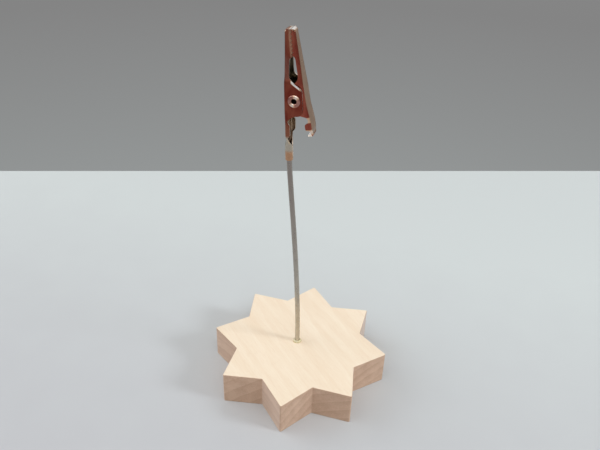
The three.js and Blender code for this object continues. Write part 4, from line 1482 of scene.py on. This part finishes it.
rivet = settle(make_ring("rivet_tube", rivet_outline(), RIVET_SIDES, rivet_ring))
rivet.data.materials.append(RIVET_RIM)
rivet.data.materials.append(RIVET_BORE_SHADE)
# Faces inside the bore get the dark painted shade
for face in rivet.data.polygons:
    face.material_index = int(round_pivot(face.center).length < BORE_REACH)
# The rims' painted highlight, kept per point by its angle round the pivot
rim_highlight = rivet.data.attributes.new("wear_and_painted_highlight", "FLOAT", "POINT")
for point, worn in zip(rivet.data.vertices, rim_highlight.data):
    spot = round_pivot(point.co)
    turn = math.atan2(spot.y, spot.x)
    worn.value = RIM_HIGHLIGHT * rises(math.cos(2 * (turn - RIM_HIGHLIGHT_ANGLE)), 0, 1)
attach(rivet, "holder")
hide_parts("pivot_rivet")

# %% [markdown]
# ## The spring
# A torsion spring is wound round the rivet between the ears, with one leg against the moving jaw's handle
# and one against the fixed jaw's tail. A screw modifier could wind the coil but not its legs, so the whole
# path is computed: a helix that leaves the coil along a tangent at each end.

# %% Spring path
SPRING_WIRE_RADIUS = 0.225
SPRING_SIDES = 12
SPRING_RADIUS = 1.5
SPRING_PITCH = 0.88
SPRING_TURNS = 4
SPRING_LEG_DROP = -6.5
SPRING_CLEARANCE = 0.06
SPRING_SEAT = SHEET + SPRING_WIRE_RADIUS + SPRING_CLEARANCE
COIL_STEPS = 32


def leg_end(depth, turn):
    """The end of a leg, lying against the inside of a spine"""
    place = Vector((depth, SPRING_LEG_DROP))
    return Matrix.Rotation(turn, 2) @ place


def spring_path():
    """From the handle's leg, round the coil, to the tail's leg, and half the coil's length"""
    handle = leg_end(HANDLE_OFFSET - SPRING_SEAT, JAW_SPREAD)
    tail = leg_end(SPRING_SEAT - SPINE_OFFSET, 0)
    start = math.atan2(handle.y, handle.x) + math.acos(SPRING_RADIUS / handle.length)
    finish = math.atan2(tail.y, tail.x) - math.acos(SPRING_RADIUS / tail.length)
    finish += SPRING_TURNS * 2 * math.pi
    turns = (finish - start) / (2 * math.pi)
    half = SPRING_PITCH * turns / 2
    steps = round(turns * COIL_STEPS)
    path = [clip_point(handle.x, -half, handle.y)]
    for step in range(steps + 1):
        angle = start + (finish - start) * step / steps
        side = -half + 2 * half * step / steps
        path.append(clip_point(SPRING_RADIUS * math.cos(angle), side, SPRING_RADIUS * math.sin(angle)))
    return path + [clip_point(tail.x, half, tail.y)], half


# %% Make the spring
spring_points, coil_half = spring_path()
spring = make_wire("spring_coil", spring_points, SPRING_WIRE_RADIUS, SPRING_SIDES, SPRING_STEEL)
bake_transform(spring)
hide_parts("torsion_spring")
print("spring coil", round(2 * coil_half, 2), "mm long")
